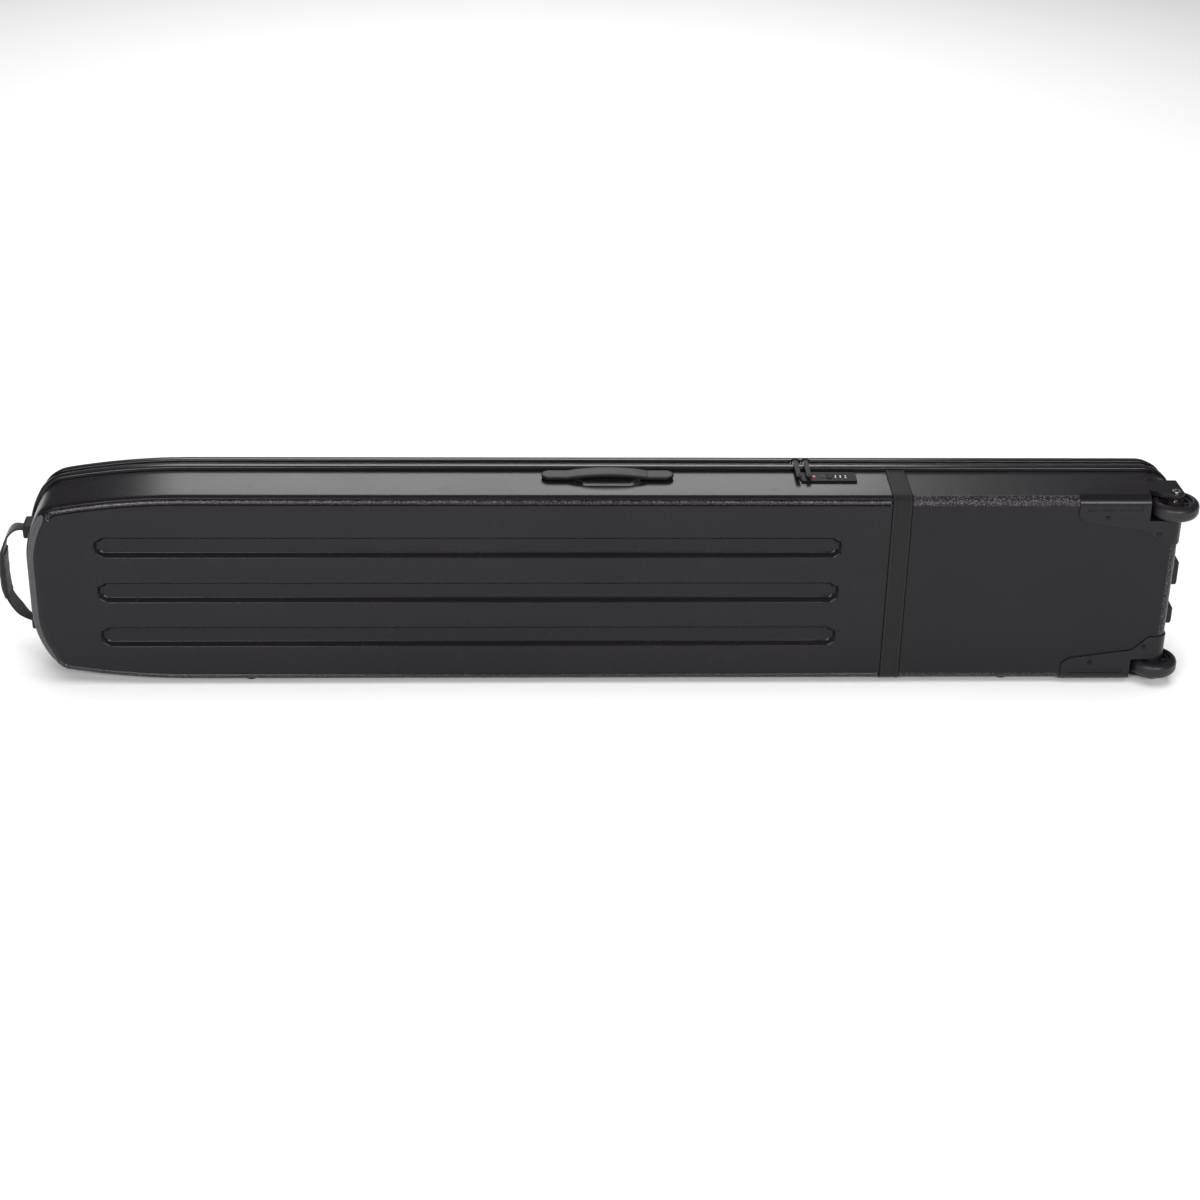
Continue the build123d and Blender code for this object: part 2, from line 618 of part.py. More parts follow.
with BuildPart() as axle_nuts:
    with Locations((WHEEL_X, WHEEL_Y, SHELF_Z - SHELF_THICKNESS)):
        Cylinder(NUT_RADIUS, NUT_LENGTH, align=(Align.CENTER, Align.CENTER, Align.MIN))
    with Locations((WHEEL_X, WHEEL_Y, BOLT_END_Z)):
        Cylinder(AXLE_RADIUS, 2 * NUT_LENGTH, align=(Align.CENTER, Align.CENTER, Align.MIN),
                 mode=Mode.SUBTRACT)
    mirror(about=MID_PLANE)
axle_nuts.part.label = "axle_nuts"
export_step(axle_nuts.part, "parts/axle_nuts.step")

# Spacer sleeves that keep each wheel in the middle of its pocket
SPACER_GAP = 0.3
SPACER_LENGTH = (POCKET_DEPTH - ARM_THICKNESS - WHEEL_WIDTH) / 2 - SPACER_GAP
with BuildPart() as axle_spacers:
    with Locations((WHEEL_X, WHEEL_Y, TOP_Z - ARM_THICKNESS - SPACER_LENGTH / 2),
                   (WHEEL_X, WHEEL_Y, SHELF_Z + SPACER_LENGTH / 2)):
        Cylinder(SPACER_RADIUS, SPACER_LENGTH)
        Cylinder(AXLE_RADIUS, SPACER_LENGTH, mode=Mode.SUBTRACT)
    mirror(about=MID_PLANE)
axle_spacers.part.label = "axle_spacers"
export_step(axle_spacers.part, "parts/axle_spacers.step")

# Wheels: rubber tyre, five-spoke hub and two ball bearings each
TYRE_INNER = WHEEL_RADIUS - TYRE_DEPTH
RIM_INNER = TYRE_INNER - HUB_RING_WALL
WHEEL_LEVELS = {"top": WHEEL_Z, "bottom": BASE_Z + WHEEL_INSET}
for wheel_name, wheel_z in WHEEL_LEVELS.items():
    wheel_plane = Plane((WHEEL_X, WHEEL_Y, wheel_z))
    with BuildPart(wheel_plane) as tyre:
        Cylinder(WHEEL_RADIUS, WHEEL_WIDTH)
        fillet(tyre.edges().filter_by(GeomType.CIRCLE), TYRE_ROUNDING)
        Cylinder(TYRE_INNER, WHEEL_WIDTH + 2, mode=Mode.SUBTRACT)
    tyre.part.label = wheel_name + "_tyre"
    export_step(tyre.part, "parts/" + wheel_name + "_tyre.step")

    with BuildPart(wheel_plane) as hub:
        Cylinder(TYRE_INNER, HUB_RING_WIDTH)
        Cylinder(RIM_INNER, HUB_RING_WIDTH + 2, mode=Mode.SUBTRACT)
        with PolarLocations((RIM_INNER + HUB_RADIUS) / 2 - 0.5, SPOKE_COUNT):
            Box(RIM_INNER - HUB_RADIUS + HUB_RING_WALL, SPOKE_THICKNESS, SPOKE_WIDTH)
        Cylinder(HUB_RADIUS, WHEEL_WIDTH)
        Cylinder(2 * AXLE_RADIUS, WHEEL_WIDTH + 2, mode=Mode.SUBTRACT)
        for end in (-1, 1):
            with Locations((0, 0, end * (WHEEL_WIDTH - BEARING_WIDTH) / 2)):
                Cylinder(BEARING_RADIUS, BEARING_WIDTH, mode=Mode.SUBTRACT)
    hub.part.label = wheel_name + "_hub"
    export_step(hub.part, "parts/" + wheel_name + "_hub.step")

    with BuildPart(wheel_plane) as bearings:
        for end in (-1, 1):
            with Locations((0, 0, end * (WHEEL_WIDTH - BEARING_WIDTH) / 2)):
                Cylinder(BEARING_RADIUS, BEARING_WIDTH)
                Cylinder(AXLE_RADIUS + AXLE_FIT, BEARING_WIDTH, mode=Mode.SUBTRACT)
    bearings.part.label = wheel_name + "_bearings"
    export_step(bearings.part, "parts/" + wheel_name + "_bearings.step")

# Feet: two on the tail, level with the wheels, and two under the tub
with BuildPart() as tail_feet:
    for low_z, high_z in TAIL_FOOT_Z:
        corner_box((TAIL_X, TAIL_FOOT_Y[0], low_z),
                   (TAIL_X + TAIL_FOOT_REACH, TAIL_FOOT_Y[1], high_z), Mode.ADD)
    fillet(tail_feet.edges().group_by(Axis.X)[-1], TAIL_FOOT_ROUNDING)
    add(bottom_wheel_housing.part, mode=Mode.SUBTRACT)
tail_feet.part.label = "tail_feet"
export_step(tail_feet.part, "parts/tail_feet.step")

with BuildPart() as side_feet:
    for foot_x in SIDE_FOOT_X:
        with Locations((foot_x, SIDE_FOOT_Y, BASE_Z / 2)):
            Cylinder(SIDE_FOOT_RADIUS, BASE_Z)
    chamfer(side_feet.edges().group_by(Axis.Z)[0], SIDE_FOOT_CHAMFER)
side_feet.part.label = "side_feet"
export_step(side_feet.part, "parts/side_feet.step")

# Carry handle: a low arched grip that lifts on two guide posts
PAD_BOTTOM_Z = TOP_Z + HANDLE_STAND
PAD_TOP_Z = PAD_BOTTOM_Z + HANDLE_THICKNESS
half_length = HANDLE_LENGTH / 2
arch_start = half_length - HANDLE_PAD
with BuildPart() as carry_handle:
    with BuildSketch(Plane.XZ.offset(-HANDLE_Y)):
        with BuildLine():
            Line((HANDLE_X - half_length, PAD_TOP_Z), (HANDLE_X - arch_start, PAD_TOP_Z))
            ThreePointArc((HANDLE_X - arch_start, PAD_TOP_Z), (HANDLE_X, PAD_TOP_Z + HANDLE_RISE),
                          (HANDLE_X + arch_start, PAD_TOP_Z))
            Line((HANDLE_X + arch_start, PAD_TOP_Z), (HANDLE_X + half_length, PAD_TOP_Z))
            Line((HANDLE_X + half_length, PAD_TOP_Z), (HANDLE_X + half_length, PAD_BOTTOM_Z))
            Line((HANDLE_X + half_length, PAD_BOTTOM_Z), (HANDLE_X + arch_start, PAD_BOTTOM_Z))
            ThreePointArc((HANDLE_X + arch_start, PAD_BOTTOM_Z),
                          (HANDLE_X, PAD_BOTTOM_Z + HANDLE_RISE),
                          (HANDLE_X - arch_start, PAD_BOTTOM_Z))
            Line((HANDLE_X - arch_start, PAD_BOTTOM_Z), (HANDLE_X - half_length, PAD_BOTTOM_Z))
            Line((HANDLE_X - half_length, PAD_BOTTOM_Z), (HANDLE_X - half_length, PAD_TOP_Z))
        make_face()
    extrude(amount=HANDLE_WIDTH / 2, both=True)
    with BuildSketch(Plane.XY.offset(TOP_Z)):
        with Locations((HANDLE_X, HANDLE_Y)):
            SlotOverall(HANDLE_LENGTH, HANDLE_WIDTH)
    extrude(amount=BEYOND, mode=Mode.INTERSECT)
    fillet(carry_handle.edges().filter_by(lambda edge: edge.center().Z > PAD_TOP_Z - 0.5), HANDLE_ROUNDING)
carry_handle.part.label = "carry_handle"
export_step(carry_handle.part, "parts/carry_handle.step")

# Guide posts of the handle, with stop collars inside the tub, and the bushes they slide in
POST_BOTTOM_Z = TOP_Z - WALL - LINING - HANDLE_TRAVEL - COLLAR_THICKNESS - COLLAR_GAP
with BuildPart() as handle_posts:
    for side in (-1, 1):
        with Locations((HANDLE_X + side * POST_SPACING / 2, HANDLE_Y, POST_BOTTOM_Z)):
            Cylinder(POST_RADIUS, PAD_BOTTOM_Z - POST_BOTTOM_Z,
                     align=(Align.CENTER, Align.CENTER, Align.MIN))
            Cylinder(COLLAR_RADIUS, COLLAR_THICKNESS, align=(Align.CENTER, Align.CENTER, Align.MIN))
handle_posts.part.label = "handle_posts"
export_step(handle_posts.part, "parts/handle_posts.step")

with BuildPart() as handle_bushes:
    for side in (-1, 1):
        with Locations((HANDLE_X + side * POST_SPACING / 2, HANDLE_Y, TOP_Z)):
            Cylinder(BUSH_FLANGE_RADIUS, BUSH_FLANGE_THICKNESS,
                     align=(Align.CENTER, Align.CENTER, Align.MIN))
            Cylinder(BUSH_RADIUS, WALL + LINING, align=(Align.CENTER, Align.CENTER, Align.MAX))
            Cylinder(POST_RADIUS + AXLE_FIT, BEYOND, mode=Mode.SUBTRACT)
handle_bushes.part.label = "handle_bushes"
export_step(handle_bushes.part, "parts/handle_bushes.step")

# Combination lock: plate with a box below it, let into the top wall
LOCK_TOP_Z = TOP_Z + LOCK_PLATE
DIAL_Z = LOCK_TOP_Z + DIAL_PROUD - DIAL_RADIUS
DIAL_CAVITY = 0.3
lock_start = LOCK_X - LOCK_LENGTH / 2
lock_end = LOCK_X + LOCK_LENGTH / 2
with BuildPart() as lock_body:
    with BuildSketch(Plane.XY.offset(TOP_Z)):
        with BuildLine():
            Polyline(
                (lock_start, LOCK_Y + LOCK_WIDTH / 2),
                (lock_end, LOCK_Y + LOCK_WIDTH / 2),
                (lock_end, LOCK_Y - LOCK_WIDTH / 2),
                (lock_start + PLATE_SLANT, LOCK_Y - LOCK_WIDTH / 2),
                close=True,
            )
        make_face()
        fillet(vertices(), PLATE_CORNER)
    extrude(amount=LOCK_PLATE)
    fillet(lock_body.edges().group_by(Axis.Z)[-1], PLATE_ROUNDING)
    with Locations((LOCK_X, LOCK_Y, TOP_Z)):
        Box(LOCK_BOX_LENGTH, LOCK_BOX_WIDTH, LOCK_BOX_DEPTH, align=(Align.CENTER, Align.CENTER, Align.MAX))
    for dial_x in DIAL_X:
        with Locations(Location((dial_x, LOCK_Y, DIAL_Z), (0, 90, 0))):
            Cylinder(DIAL_RADIUS + DIAL_CAVITY, DIAL_WIDTH + 2 * DIAL_CAVITY, mode=Mode.SUBTRACT)
    with Locations(Location((DIAL_X[1], LOCK_Y, DIAL_Z), (0, 90, 0))):
        Cylinder(DIAL_SHAFT_RADIUS, DIAL_SHAFT_LENGTH, mode=Mode.SUBTRACT)
    with Locations((CYLINDER_X, LOCK_Y, LOCK_TOP_Z)):
        Cylinder(CYLINDER_RADIUS + AXLE_FIT, 2 * CYLINDER_LENGTH + 1, mode=Mode.SUBTRACT)
    with Locations((INDICATOR_X, LOCK_Y, LOCK_TOP_Z)):
        Cylinder(INDICATOR_RADIUS, 2 * INDICATOR_SEAT, mode=Mode.SUBTRACT)
    with Locations((BUTTON_X, LOCK_Y, LOCK_TOP_Z)):
        Box(BUTTON_LENGTH + BUTTON_GAP, BUTTON_WIDTH + BUTTON_GAP, 2 * BUTTON_WELL, mode=Mode.SUBTRACT)
    for slider_x in SLIDER_X:
        with Locations((slider_x, LOCK_Y - 4, LOCK_TOP_Z)):
            Box(PULL_WIDTH + 1, PULL_DOCK_LENGTH, 2 * PULL_DOCK_DEPTH, mode=Mode.SUBTRACT)
lock_body.part.label = "lock_body"
export_step(lock_body.part, "parts/lock_body.step")

# Shaft and number dials of the lock
with BuildPart() as dial_shaft:
    with Locations(Location((DIAL_X[1], LOCK_Y, DIAL_Z), (0, 90, 0))):
        Cylinder(DIAL_SHAFT_RADIUS, DIAL_SHAFT_LENGTH)
dial_shaft.part.label = "dial_shaft"
export_step(dial_shaft.part, "parts/dial_shaft.step")

for number, dial_x in enumerate(DIAL_X, start=1):
    with BuildPart(Plane((dial_x, LOCK_Y, DIAL_Z), z_dir=(1, 0, 0))) as dial:
        Cylinder(DIAL_RADIUS, DIAL_WIDTH)
        chamfer(dial.edges().filter_by(GeomType.CIRCLE), DIAL_CHAMFER)
        Cylinder(DIAL_SHAFT_RADIUS + AXLE_FIT, DIAL_WIDTH + 2, mode=Mode.SUBTRACT)
        with PolarLocations(DIAL_RADIUS, 10, start_angle=18):
            Box(2 * DIAL_NOTCH_DEPTH, DIAL_NOTCH_WIDTH, DIAL_WIDTH + 2, mode=Mode.SUBTRACT)
    dial.part.label = "number_dial_" + str(number)
    export_step(dial.part, "parts/number_dial_" + str(number) + ".step")

# Key cylinder, indicator and release button of the lock
with BuildPart() as key_cylinder:
    with Locations((CYLINDER_X, LOCK_Y, LOCK_TOP_Z + CYLINDER_PROUD)):
        Cylinder(CYLINDER_RADIUS, CYLINDER_LENGTH, align=(Align.CENTER, Align.CENTER, Align.MAX))
    with Locations((CYLINDER_X, LOCK_Y, LOCK_TOP_Z)):
        Box(KEY_SLOT_LENGTH, KEY_SLOT_WIDTH, 2 * KEY_SLOT_DEPTH, mode=Mode.SUBTRACT)
key_cylinder.part.label = "key_cylinder"
export_step(key_cylinder.part, "parts/key_cylinder.step")

with BuildPart() as lock_indicator:
    with Locations((INDICATOR_X, LOCK_Y, LOCK_TOP_Z - INDICATOR_SEAT)):
        Cylinder(INDICATOR_RADIUS, INDICATOR_HEIGHT, align=(Align.CENTER, Align.CENTER, Align.MIN))
    fillet(lock_indicator.edges().group_by(Axis.Z)[-1], INDICATOR_ROUNDING)
lock_indicator.part.label = "lock_indicator"
export_step(lock_indicator.part, "parts/lock_indicator.step")

BUTTON_TOP_Z = LOCK_TOP_Z + BUTTON_PROUD
with BuildPart() as release_button:
    with Locations((BUTTON_X, LOCK_Y, BUTTON_TOP_Z)):
        Box(BUTTON_LENGTH, BUTTON_WIDTH, BUTTON_HEIGHT, align=(Align.CENTER, Align.CENTER, Align.MAX))
    fillet(release_button.edges().group_by(Axis.Z)[-1], BUTTON_ROUNDING)
    for groove_shift in BUTTON_GROOVES:
        with Locations(Location((BUTTON_X + groove_shift, LOCK_Y, BUTTON_TOP_Z),
                                (0, 0, BUTTON_GROOVE_TURN))):
            Box(1.0, 9, 0.8, mode=Mode.SUBTRACT)
release_button.part.label = "release_button"
export_step(release_button.part, "parts/release_button.step")

# Zip sliders: two plates joined by a thin wedge between the coils, with ears and a pin on top
COIL_TOP_Z = TOP_Z + TAPE_LEVEL + COIL_SIZE
TAPE_BOTTOM_Z = TOP_Z + TAPE_LEVEL - TAPE_THICKNESS
SLIDER_GAP = 0.4
SLIDER_TOP_Z = COIL_TOP_Z + SLIDER_GAP
SLIDER_BOTTOM_Z = TAPE_BOTTOM_Z - SLIDER_GAP
PULL_PIVOT_Z = PULL_Z + PULL_THICKNESS / 2
EAR_THICKNESS = 1.6
EAR_X = PULL_WIDTH / 2 + 0.5 + EAR_THICKNESS / 2
PULL_PIN_RADIUS = 1.2
for slider_name, slider_x in zip(("left", "right"), SLIDER_X):
    with BuildPart(Plane((slider_x, ZIP_Y, 0))) as slider:
        with Locations((0, 0, SLIDER_TOP_Z)):
            Box(SLIDER_LENGTH, SLIDER_WIDTH, SLIDER_PLATE, align=(Align.CENTER, Align.CENTER, Align.MIN))
        with Locations((0, 0, SLIDER_BOTTOM_Z)):
            Box(SLIDER_LENGTH, SLIDER_WIDTH, SLIDER_PLATE, align=(Align.CENTER, Align.CENTER, Align.MAX))
        fillet(slider.edges().filter_by(Axis.Z), SLIDER_CORNER)
        with Locations((0, 0, SLIDER_BOTTOM_Z)):
            Box(WEDGE_LENGTH, 2 * (ZIP_GAP - WEDGE_GAP), SLIDER_TOP_Z - SLIDER_BOTTOM_Z,
                align=(Align.CENTER, Align.CENTER, Align.MIN))
        for side in (-1, 1):
            with Locations((side * EAR_X, 0, SLIDER_TOP_Z)):
                Box(EAR_THICKNESS, EAR_LENGTH, PULL_PIVOT_Z + EAR_ABOVE_PIN - SLIDER_TOP_Z,
                    align=(Align.CENTER, Align.CENTER, Align.MIN))
        with Locations(Location((0, 0, PULL_PIVOT_Z), (0, 90, 0))):
            Cylinder(PULL_PIN_RADIUS, 2 * EAR_X)
    slider.part.label = slider_name + "_slider"
    export_step(slider.part, "parts/" + slider_name + "_slider.step")

    pull_plane = Plane((slider_x, ZIP_Y, PULL_PIVOT_Z))
    with BuildPart(pull_plane) as pull:
        with BuildSketch(pull_plane):
            with Locations((0, -PULL_LENGTH / 2)):
                RectangleRounded(PULL_WIDTH, PULL_LENGTH, PULL_CORNER)
            with Locations((0, PULL_EYE_INSET - PULL_LENGTH)):
                Circle(PULL_EYE_RADIUS, mode=Mode.SUBTRACT)
        extrude(amount=PULL_THICKNESS / 2, both=True)
        with Locations(Location((0, 0, 0), (0, 90, 0))):
            Cylinder(PULL_BARREL_RADIUS, PULL_WIDTH)
            Cylinder(PULL_PIN_RADIUS + AXLE_FIT, PULL_WIDTH + 2, mode=Mode.SUBTRACT)
    pull.part.label = slider_name + "_pull"
    export_step(pull.part, "parts/" + slider_name + "_pull.step")

# Webbing grab loop on the nose, its padded sleeve and its two anchors
loop_points = ((LOOP_MOUTH_X, LOOP_TOP_Z),) + LOOP_ROUTE + ((LOOP_MOUTH_X, LOOP_BOTTOM_Z),)
with BuildPart() as nose_loop:
    with BuildSketch(Plane.XZ.offset(-LOOP_Y)):
        with BuildLine() as loop_line:
            FilletPolyline(*loop_points, radius=LOOP_BEND)
        trace(line_width=LOOP_THICKNESS)
    extrude(amount=LOOP_WIDTH / 2, both=True)
    for side in (-1, 1):
        cut_y = LOOP_Y + side * (LOOP_END_WIDTH + LOOP_WIDTH) / 2
        with Locations((LOOP_MOUTH_X, cut_y, MIDDLE_Z)):
            Box(20, LOOP_WIDTH, 2 * CASE_WIDTH, mode=Mode.SUBTRACT)
nose_loop.part.label = "nose_loop"
export_step(nose_loop.part, "parts/nose_loop.step")

with BuildPart() as loop_sleeve:
    with BuildSketch(Plane.XZ.offset(-LOOP_Y)):
        with BuildLine():
            FilletPolyline(*LOOP_ROUTE[2:5], radius=LOOP_BEND)
        trace(line_width=SLEEVE_THICKNESS)
    extrude(amount=LOOP_WIDTH / 2 + SLEEVE_OVERLAP, both=True)
    sleeve_sides = loop_sleeve.edges().filter_by(lambda edge: abs(edge.center().Y - LOOP_Y) > LOOP_WIDTH / 2)
    fillet(sleeve_sides, SLEEVE_ROUNDING)
    add(nose_loop.part, mode=Mode.SUBTRACT)
loop_sleeve.part.label = "loop_sleeve"
export_step(loop_sleeve.part, "parts/loop_sleeve.step")

with BuildPart() as loop_anchors:
    for anchor_z in (LOOP_TOP_Z, LOOP_BOTTOM_Z):
        with Locations((LOOP_MOUTH_X + ANCHOR_SHIFT, LOOP_Y, anchor_z)):
            Box(ANCHOR_LENGTH, ANCHOR_WIDTH, ANCHOR_HEIGHT)
    fillet(loop_anchors.edges().group_by(Axis.X)[0], ANCHOR_ROUNDING)
    tub_block(0, SEAM_Y + 1, Mode.SUBTRACT)
    for anchor_z in (LOOP_TOP_Z, LOOP_BOTTOM_Z):
        with Locations((LOOP_MOUTH_X, LOOP_Y, anchor_z)):
            Box(ANCHOR_MOUTH, LOOP_END_WIDTH + ANCHOR_SLOT_SPARE, ANCHOR_SLOT_HEIGHT, mode=Mode.SUBTRACT)
loop_anchors.part.label = "loop_anchors"
export_step(loop_anchors.part, "parts/loop_anchors.step")

# Board straps across the tub: anchors, webbing, buckles and slide bars
INSIDE_BOTTOM_Z = BASE_Z + WALL + LINING
INSIDE_TOP_Z = TOP_Z - WALL - LINING
ANCHOR_PLATE = 2.0
plate_start = STRAP_Y + STRAP_PLATE_DEPTH[0]
plate_end = STRAP_Y + STRAP_PLATE_DEPTH[1]
with BuildPart() as strap_anchors:
    for strap_x in STRAP_X:
        for plate_z in (INSIDE_BOTTOM_Z, INSIDE_TOP_Z - ANCHOR_PLATE):
            corner_box((strap_x - STRAP_PLATE_HALF, plate_start, plate_z),
                       (strap_x + STRAP_PLATE_HALF, plate_end, plate_z + ANCHOR_PLATE), Mode.ADD)
strap_anchors.part.label = "strap_anchors"
export_step(strap_anchors.part, "parts/strap_anchors.step")

CLIP_Z = BUCKLE_Z + BUCKLE_LENGTH
half_strap = STRAP_THICKNESS / 2
with BuildPart() as strap_webbing:
    for strap_x in STRAP_X:
        corner_box((strap_x - STRAP_WIDTH / 2, STRAP_Y - half_strap, INSIDE_BOTTOM_Z + ANCHOR_PLATE),
                   (strap_x + STRAP_WIDTH / 2, STRAP_Y + half_strap, BUCKLE_Z), Mode.ADD)
        corner_box((strap_x - STRAP_WIDTH / 2, STRAP_Y - half_strap, CLIP_Z + CLIP_LENGTH),
                   (strap_x + STRAP_WIDTH / 2, STRAP_Y + half_strap, INSIDE_TOP_Z - ANCHOR_PLATE),
                   Mode.ADD)
strap_webbing.part.label = "strap_webbing"
export_step(strap_webbing.part, "parts/strap_webbing.step")

with BuildPart() as buckle_sockets:
    with Locations([(strap_x, STRAP_Y, BUCKLE_Z + BUCKLE_LENGTH / 2) for strap_x in STRAP_X]):
        Box(BUCKLE_WIDTH, BUCKLE_HEIGHT, BUCKLE_LENGTH)
    fillet(buckle_sockets.edges().filter_by(Axis.Y), BUCKLE_ROUNDING)
    with Locations([(strap_x, STRAP_Y, CLIP_Z) for strap_x in STRAP_X]):
        Box(BUCKLE_WIDTH - 2 * BUCKLE_CHEEK, BUCKLE_HEIGHT - 2 * BUCKLE_WALL, 2 * BUCKLE_THROAT,
            mode=Mode.SUBTRACT)
    with Locations([(strap_x, STRAP_Y, CLIP_Z - BUCKLE_WINDOW) for strap_x in STRAP_X]):
        Box(BUCKLE_WIDTH + 2, BUCKLE_HEIGHT - 2 * BUCKLE_WALL, BUCKLE_WINDOW, mode=Mode.SUBTRACT)
buckle_sockets.part.label = "buckle_sockets"
export_step(buckle_sockets.part, "parts/buckle_sockets.step")

with BuildPart() as buckle_clips:
    for strap_x in STRAP_X:
        corner_box((strap_x - BUCKLE_WIDTH / 2, STRAP_Y - BUCKLE_HEIGHT / 2, CLIP_Z),
                   (strap_x + BUCKLE_WIDTH / 2, STRAP_Y + BUCKLE_HEIGHT / 2, CLIP_Z + CLIP_LENGTH),
                   Mode.ADD)
        for prong_x in (strap_x - PRONG_SPACING, strap_x, strap_x + PRONG_SPACING):
            corner_box((prong_x - PRONG_HALF, STRAP_Y - PRONG_HALF, CLIP_Z - PRONG_LENGTH),
                       (prong_x + PRONG_HALF, STRAP_Y + PRONG_HALF, CLIP_Z), Mode.ADD)
buckle_clips.part.label = "buckle_clips"
export_step(buckle_clips.part, "parts/buckle_clips.step")

BAR_FIT = 0.4
for bar_name, strap_x in zip(("nose", "tail"), STRAP_X):
    with BuildPart(Plane((strap_x, STRAP_Y, SLIDE_BAR_Z))) as slide_bar:
        Box(STRAP_WIDTH + SLIDE_BAR_SPARE, SLIDE_BAR_THICKNESS, SLIDE_BAR_HEIGHT)
        fillet(slide_bar.edges().filter_by(Axis.Y), SLIDE_BAR_ROUNDING)
        Box(STRAP_WIDTH + 2 * BAR_FIT, STRAP_THICKNESS + 2 * BAR_FIT, BEYOND, mode=Mode.SUBTRACT)
    slide_bar.part.label = bar_name + "_slide_bar"
    export_step(slide_bar.part, "parts/" + bar_name + "_slide_bar.step")
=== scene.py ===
import math

import bmesh
import bpy
import numpy as np
from mathutils import Matrix, Vector


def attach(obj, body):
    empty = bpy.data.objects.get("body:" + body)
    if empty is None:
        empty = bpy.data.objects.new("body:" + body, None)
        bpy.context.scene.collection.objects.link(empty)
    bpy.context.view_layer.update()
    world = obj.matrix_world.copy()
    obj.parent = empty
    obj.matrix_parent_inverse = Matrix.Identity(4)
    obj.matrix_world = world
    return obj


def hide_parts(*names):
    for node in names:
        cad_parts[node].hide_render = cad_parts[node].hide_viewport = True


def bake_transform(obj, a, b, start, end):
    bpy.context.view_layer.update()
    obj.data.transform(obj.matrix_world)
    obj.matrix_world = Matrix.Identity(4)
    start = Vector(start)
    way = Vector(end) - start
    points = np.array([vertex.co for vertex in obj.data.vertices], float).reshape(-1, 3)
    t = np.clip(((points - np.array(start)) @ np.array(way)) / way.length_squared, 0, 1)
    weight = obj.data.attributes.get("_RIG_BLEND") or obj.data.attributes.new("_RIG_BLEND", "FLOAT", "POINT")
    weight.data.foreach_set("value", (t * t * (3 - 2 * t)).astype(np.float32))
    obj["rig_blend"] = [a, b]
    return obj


bl_info = {
    "name": "Snowboard travel case",
    "version": (1, 0, 0),
    "blender": (4, 5, 0),
    "location": "3D View > Sidebar > Travel case",
    "description": "Builds the shells, fittings and fabric of a hard snowboard case on its frame",
    "category": "Object",
}

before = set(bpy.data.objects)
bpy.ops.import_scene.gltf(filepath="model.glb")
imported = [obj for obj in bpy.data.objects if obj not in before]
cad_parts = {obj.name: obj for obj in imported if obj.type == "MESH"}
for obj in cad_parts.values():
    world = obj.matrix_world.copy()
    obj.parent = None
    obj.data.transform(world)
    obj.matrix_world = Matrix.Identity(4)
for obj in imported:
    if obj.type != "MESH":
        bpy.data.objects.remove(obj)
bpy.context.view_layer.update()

# Sizes of the frame that the surfaces follow, in millimetres
MM = 0.001
NOSE_X, TAIL_X = -839.3, 860.7
BASE_Z, TOP_Z = 6.0, 312.6
MIDDLE_Z = (BASE_Z + TOP_Z) / 2
HALF = (TOP_Z - BASE_Z) / 2
FRONT_Y, SEAM_Y, BACK_Y = -68.0, 25.5, 87.0
SPLIT_X = 444.7
STRAIGHT_X = -603.1
EDGE_RADIUS, LID_RADIUS = 13.0, 20.0
EDGE_Y = FRONT_Y + EDGE_RADIUS
WALL, SHELL_THICK, CLOTH_THICK = 3.0, 2.7, 1.0
SHOULDER, CORNER, BROW = 1045.0, 45.0, 150.0
SHOULDER_TURN, CORNER_TURN = 10.2, 60.0
TAIL_CORNER = 45.0
TAIL_CENTRE = np.array([TAIL_X - TAIL_CORNER, HALF - TAIL_CORNER])
TUB_RIM_END, LID_RIM_START, LID_RIM_END = 37.0, 56.0, 63.0
ZIP_Y, ZIP_GAP, TAPE_LEVEL, COIL = 46.5, 0.7, -2.0, 2.4
HINGE_START, HINGE_END = -560.0, 790.0
COIL_START, COIL_END = -672.0, 832.0
CHANNEL_START, CHANNEL_END = -736.9, 360.2
CHANNEL_MIDDLE, CHANNEL_PITCH = 156.9 - MIDDLE_Z, 74.5
CHANNEL_HALF, CHANNEL_DEPTH = 16.5, 8.0
CUT_LONG, CUT_HIGH = 14.0, 8.5
CLOTH_GROW = 3.0
POCKET_X, POCKET_Y, POCKET_Z = 809.0, -10.0, 109.3
HANDLE_X, HANDLE_Y, BUSH_OUT, BUSH_HALF = 14.4, 0.8, 77.5, 7.0
DISH_STRAIGHT, DISH_RADIUS, DISH_Y = 31.0, 21.0, -3.5
LOCK_X, LOCK_Y, LOCK_LONG, LOCK_WIDE = 339.8, -0.2, 31.0, 11.0
DIALS_X, DIAL_RADIUS, DIAL_Z = (352.2, 359.5, 366.8), 8.03, TOP_Z - 4
BAND_HALF = 14.0
WHEEL_X, WHEEL_Y, WHEEL_INSET, WHEEL_RADIUS = 851.0, -51.0, 21.0, 36.0
LOOP_Y, LOOP_WIDE, LOOP_END_WIDE, LOOP_THICK = -10.0, 36.0, 20.0, 2.6
LOOP_ROUTE = [(-843, 236), (-860, 239), (-873.5, 222), (-880, 196), (-881, 160), (-880, 128),
              (-867, 105), (-853, 88), (-843, 84)]
PAD_LOW, PAD_HIGH = 126.0, 198.0
STRAPS_X, STRAP_Y, STRAP_WIDE, STRAP_THICK = (-360.0, 250.0), 16.0, 38.0, 1.5
BUCKLE_LOW, BUCKLE_HIGH = 121.0, 169.0
STRAP_INSET = WALL + 3.5
FULL_TURN = 2 * math.pi


# ---------------------------------------------------------------- numbers
def smooth(t):
    """Smoothstep: 3t^2 - 2t^3 with t held between 0 and 1."""
    t = np.clip(t, 0.0, 1.0)
    return t * t * (3 - 2 * t)


def hump(t, width=1.0):
    """Bell of height 1: exp(-(t / width)^2)."""
    return np.exp(-(t / width) ** 2)


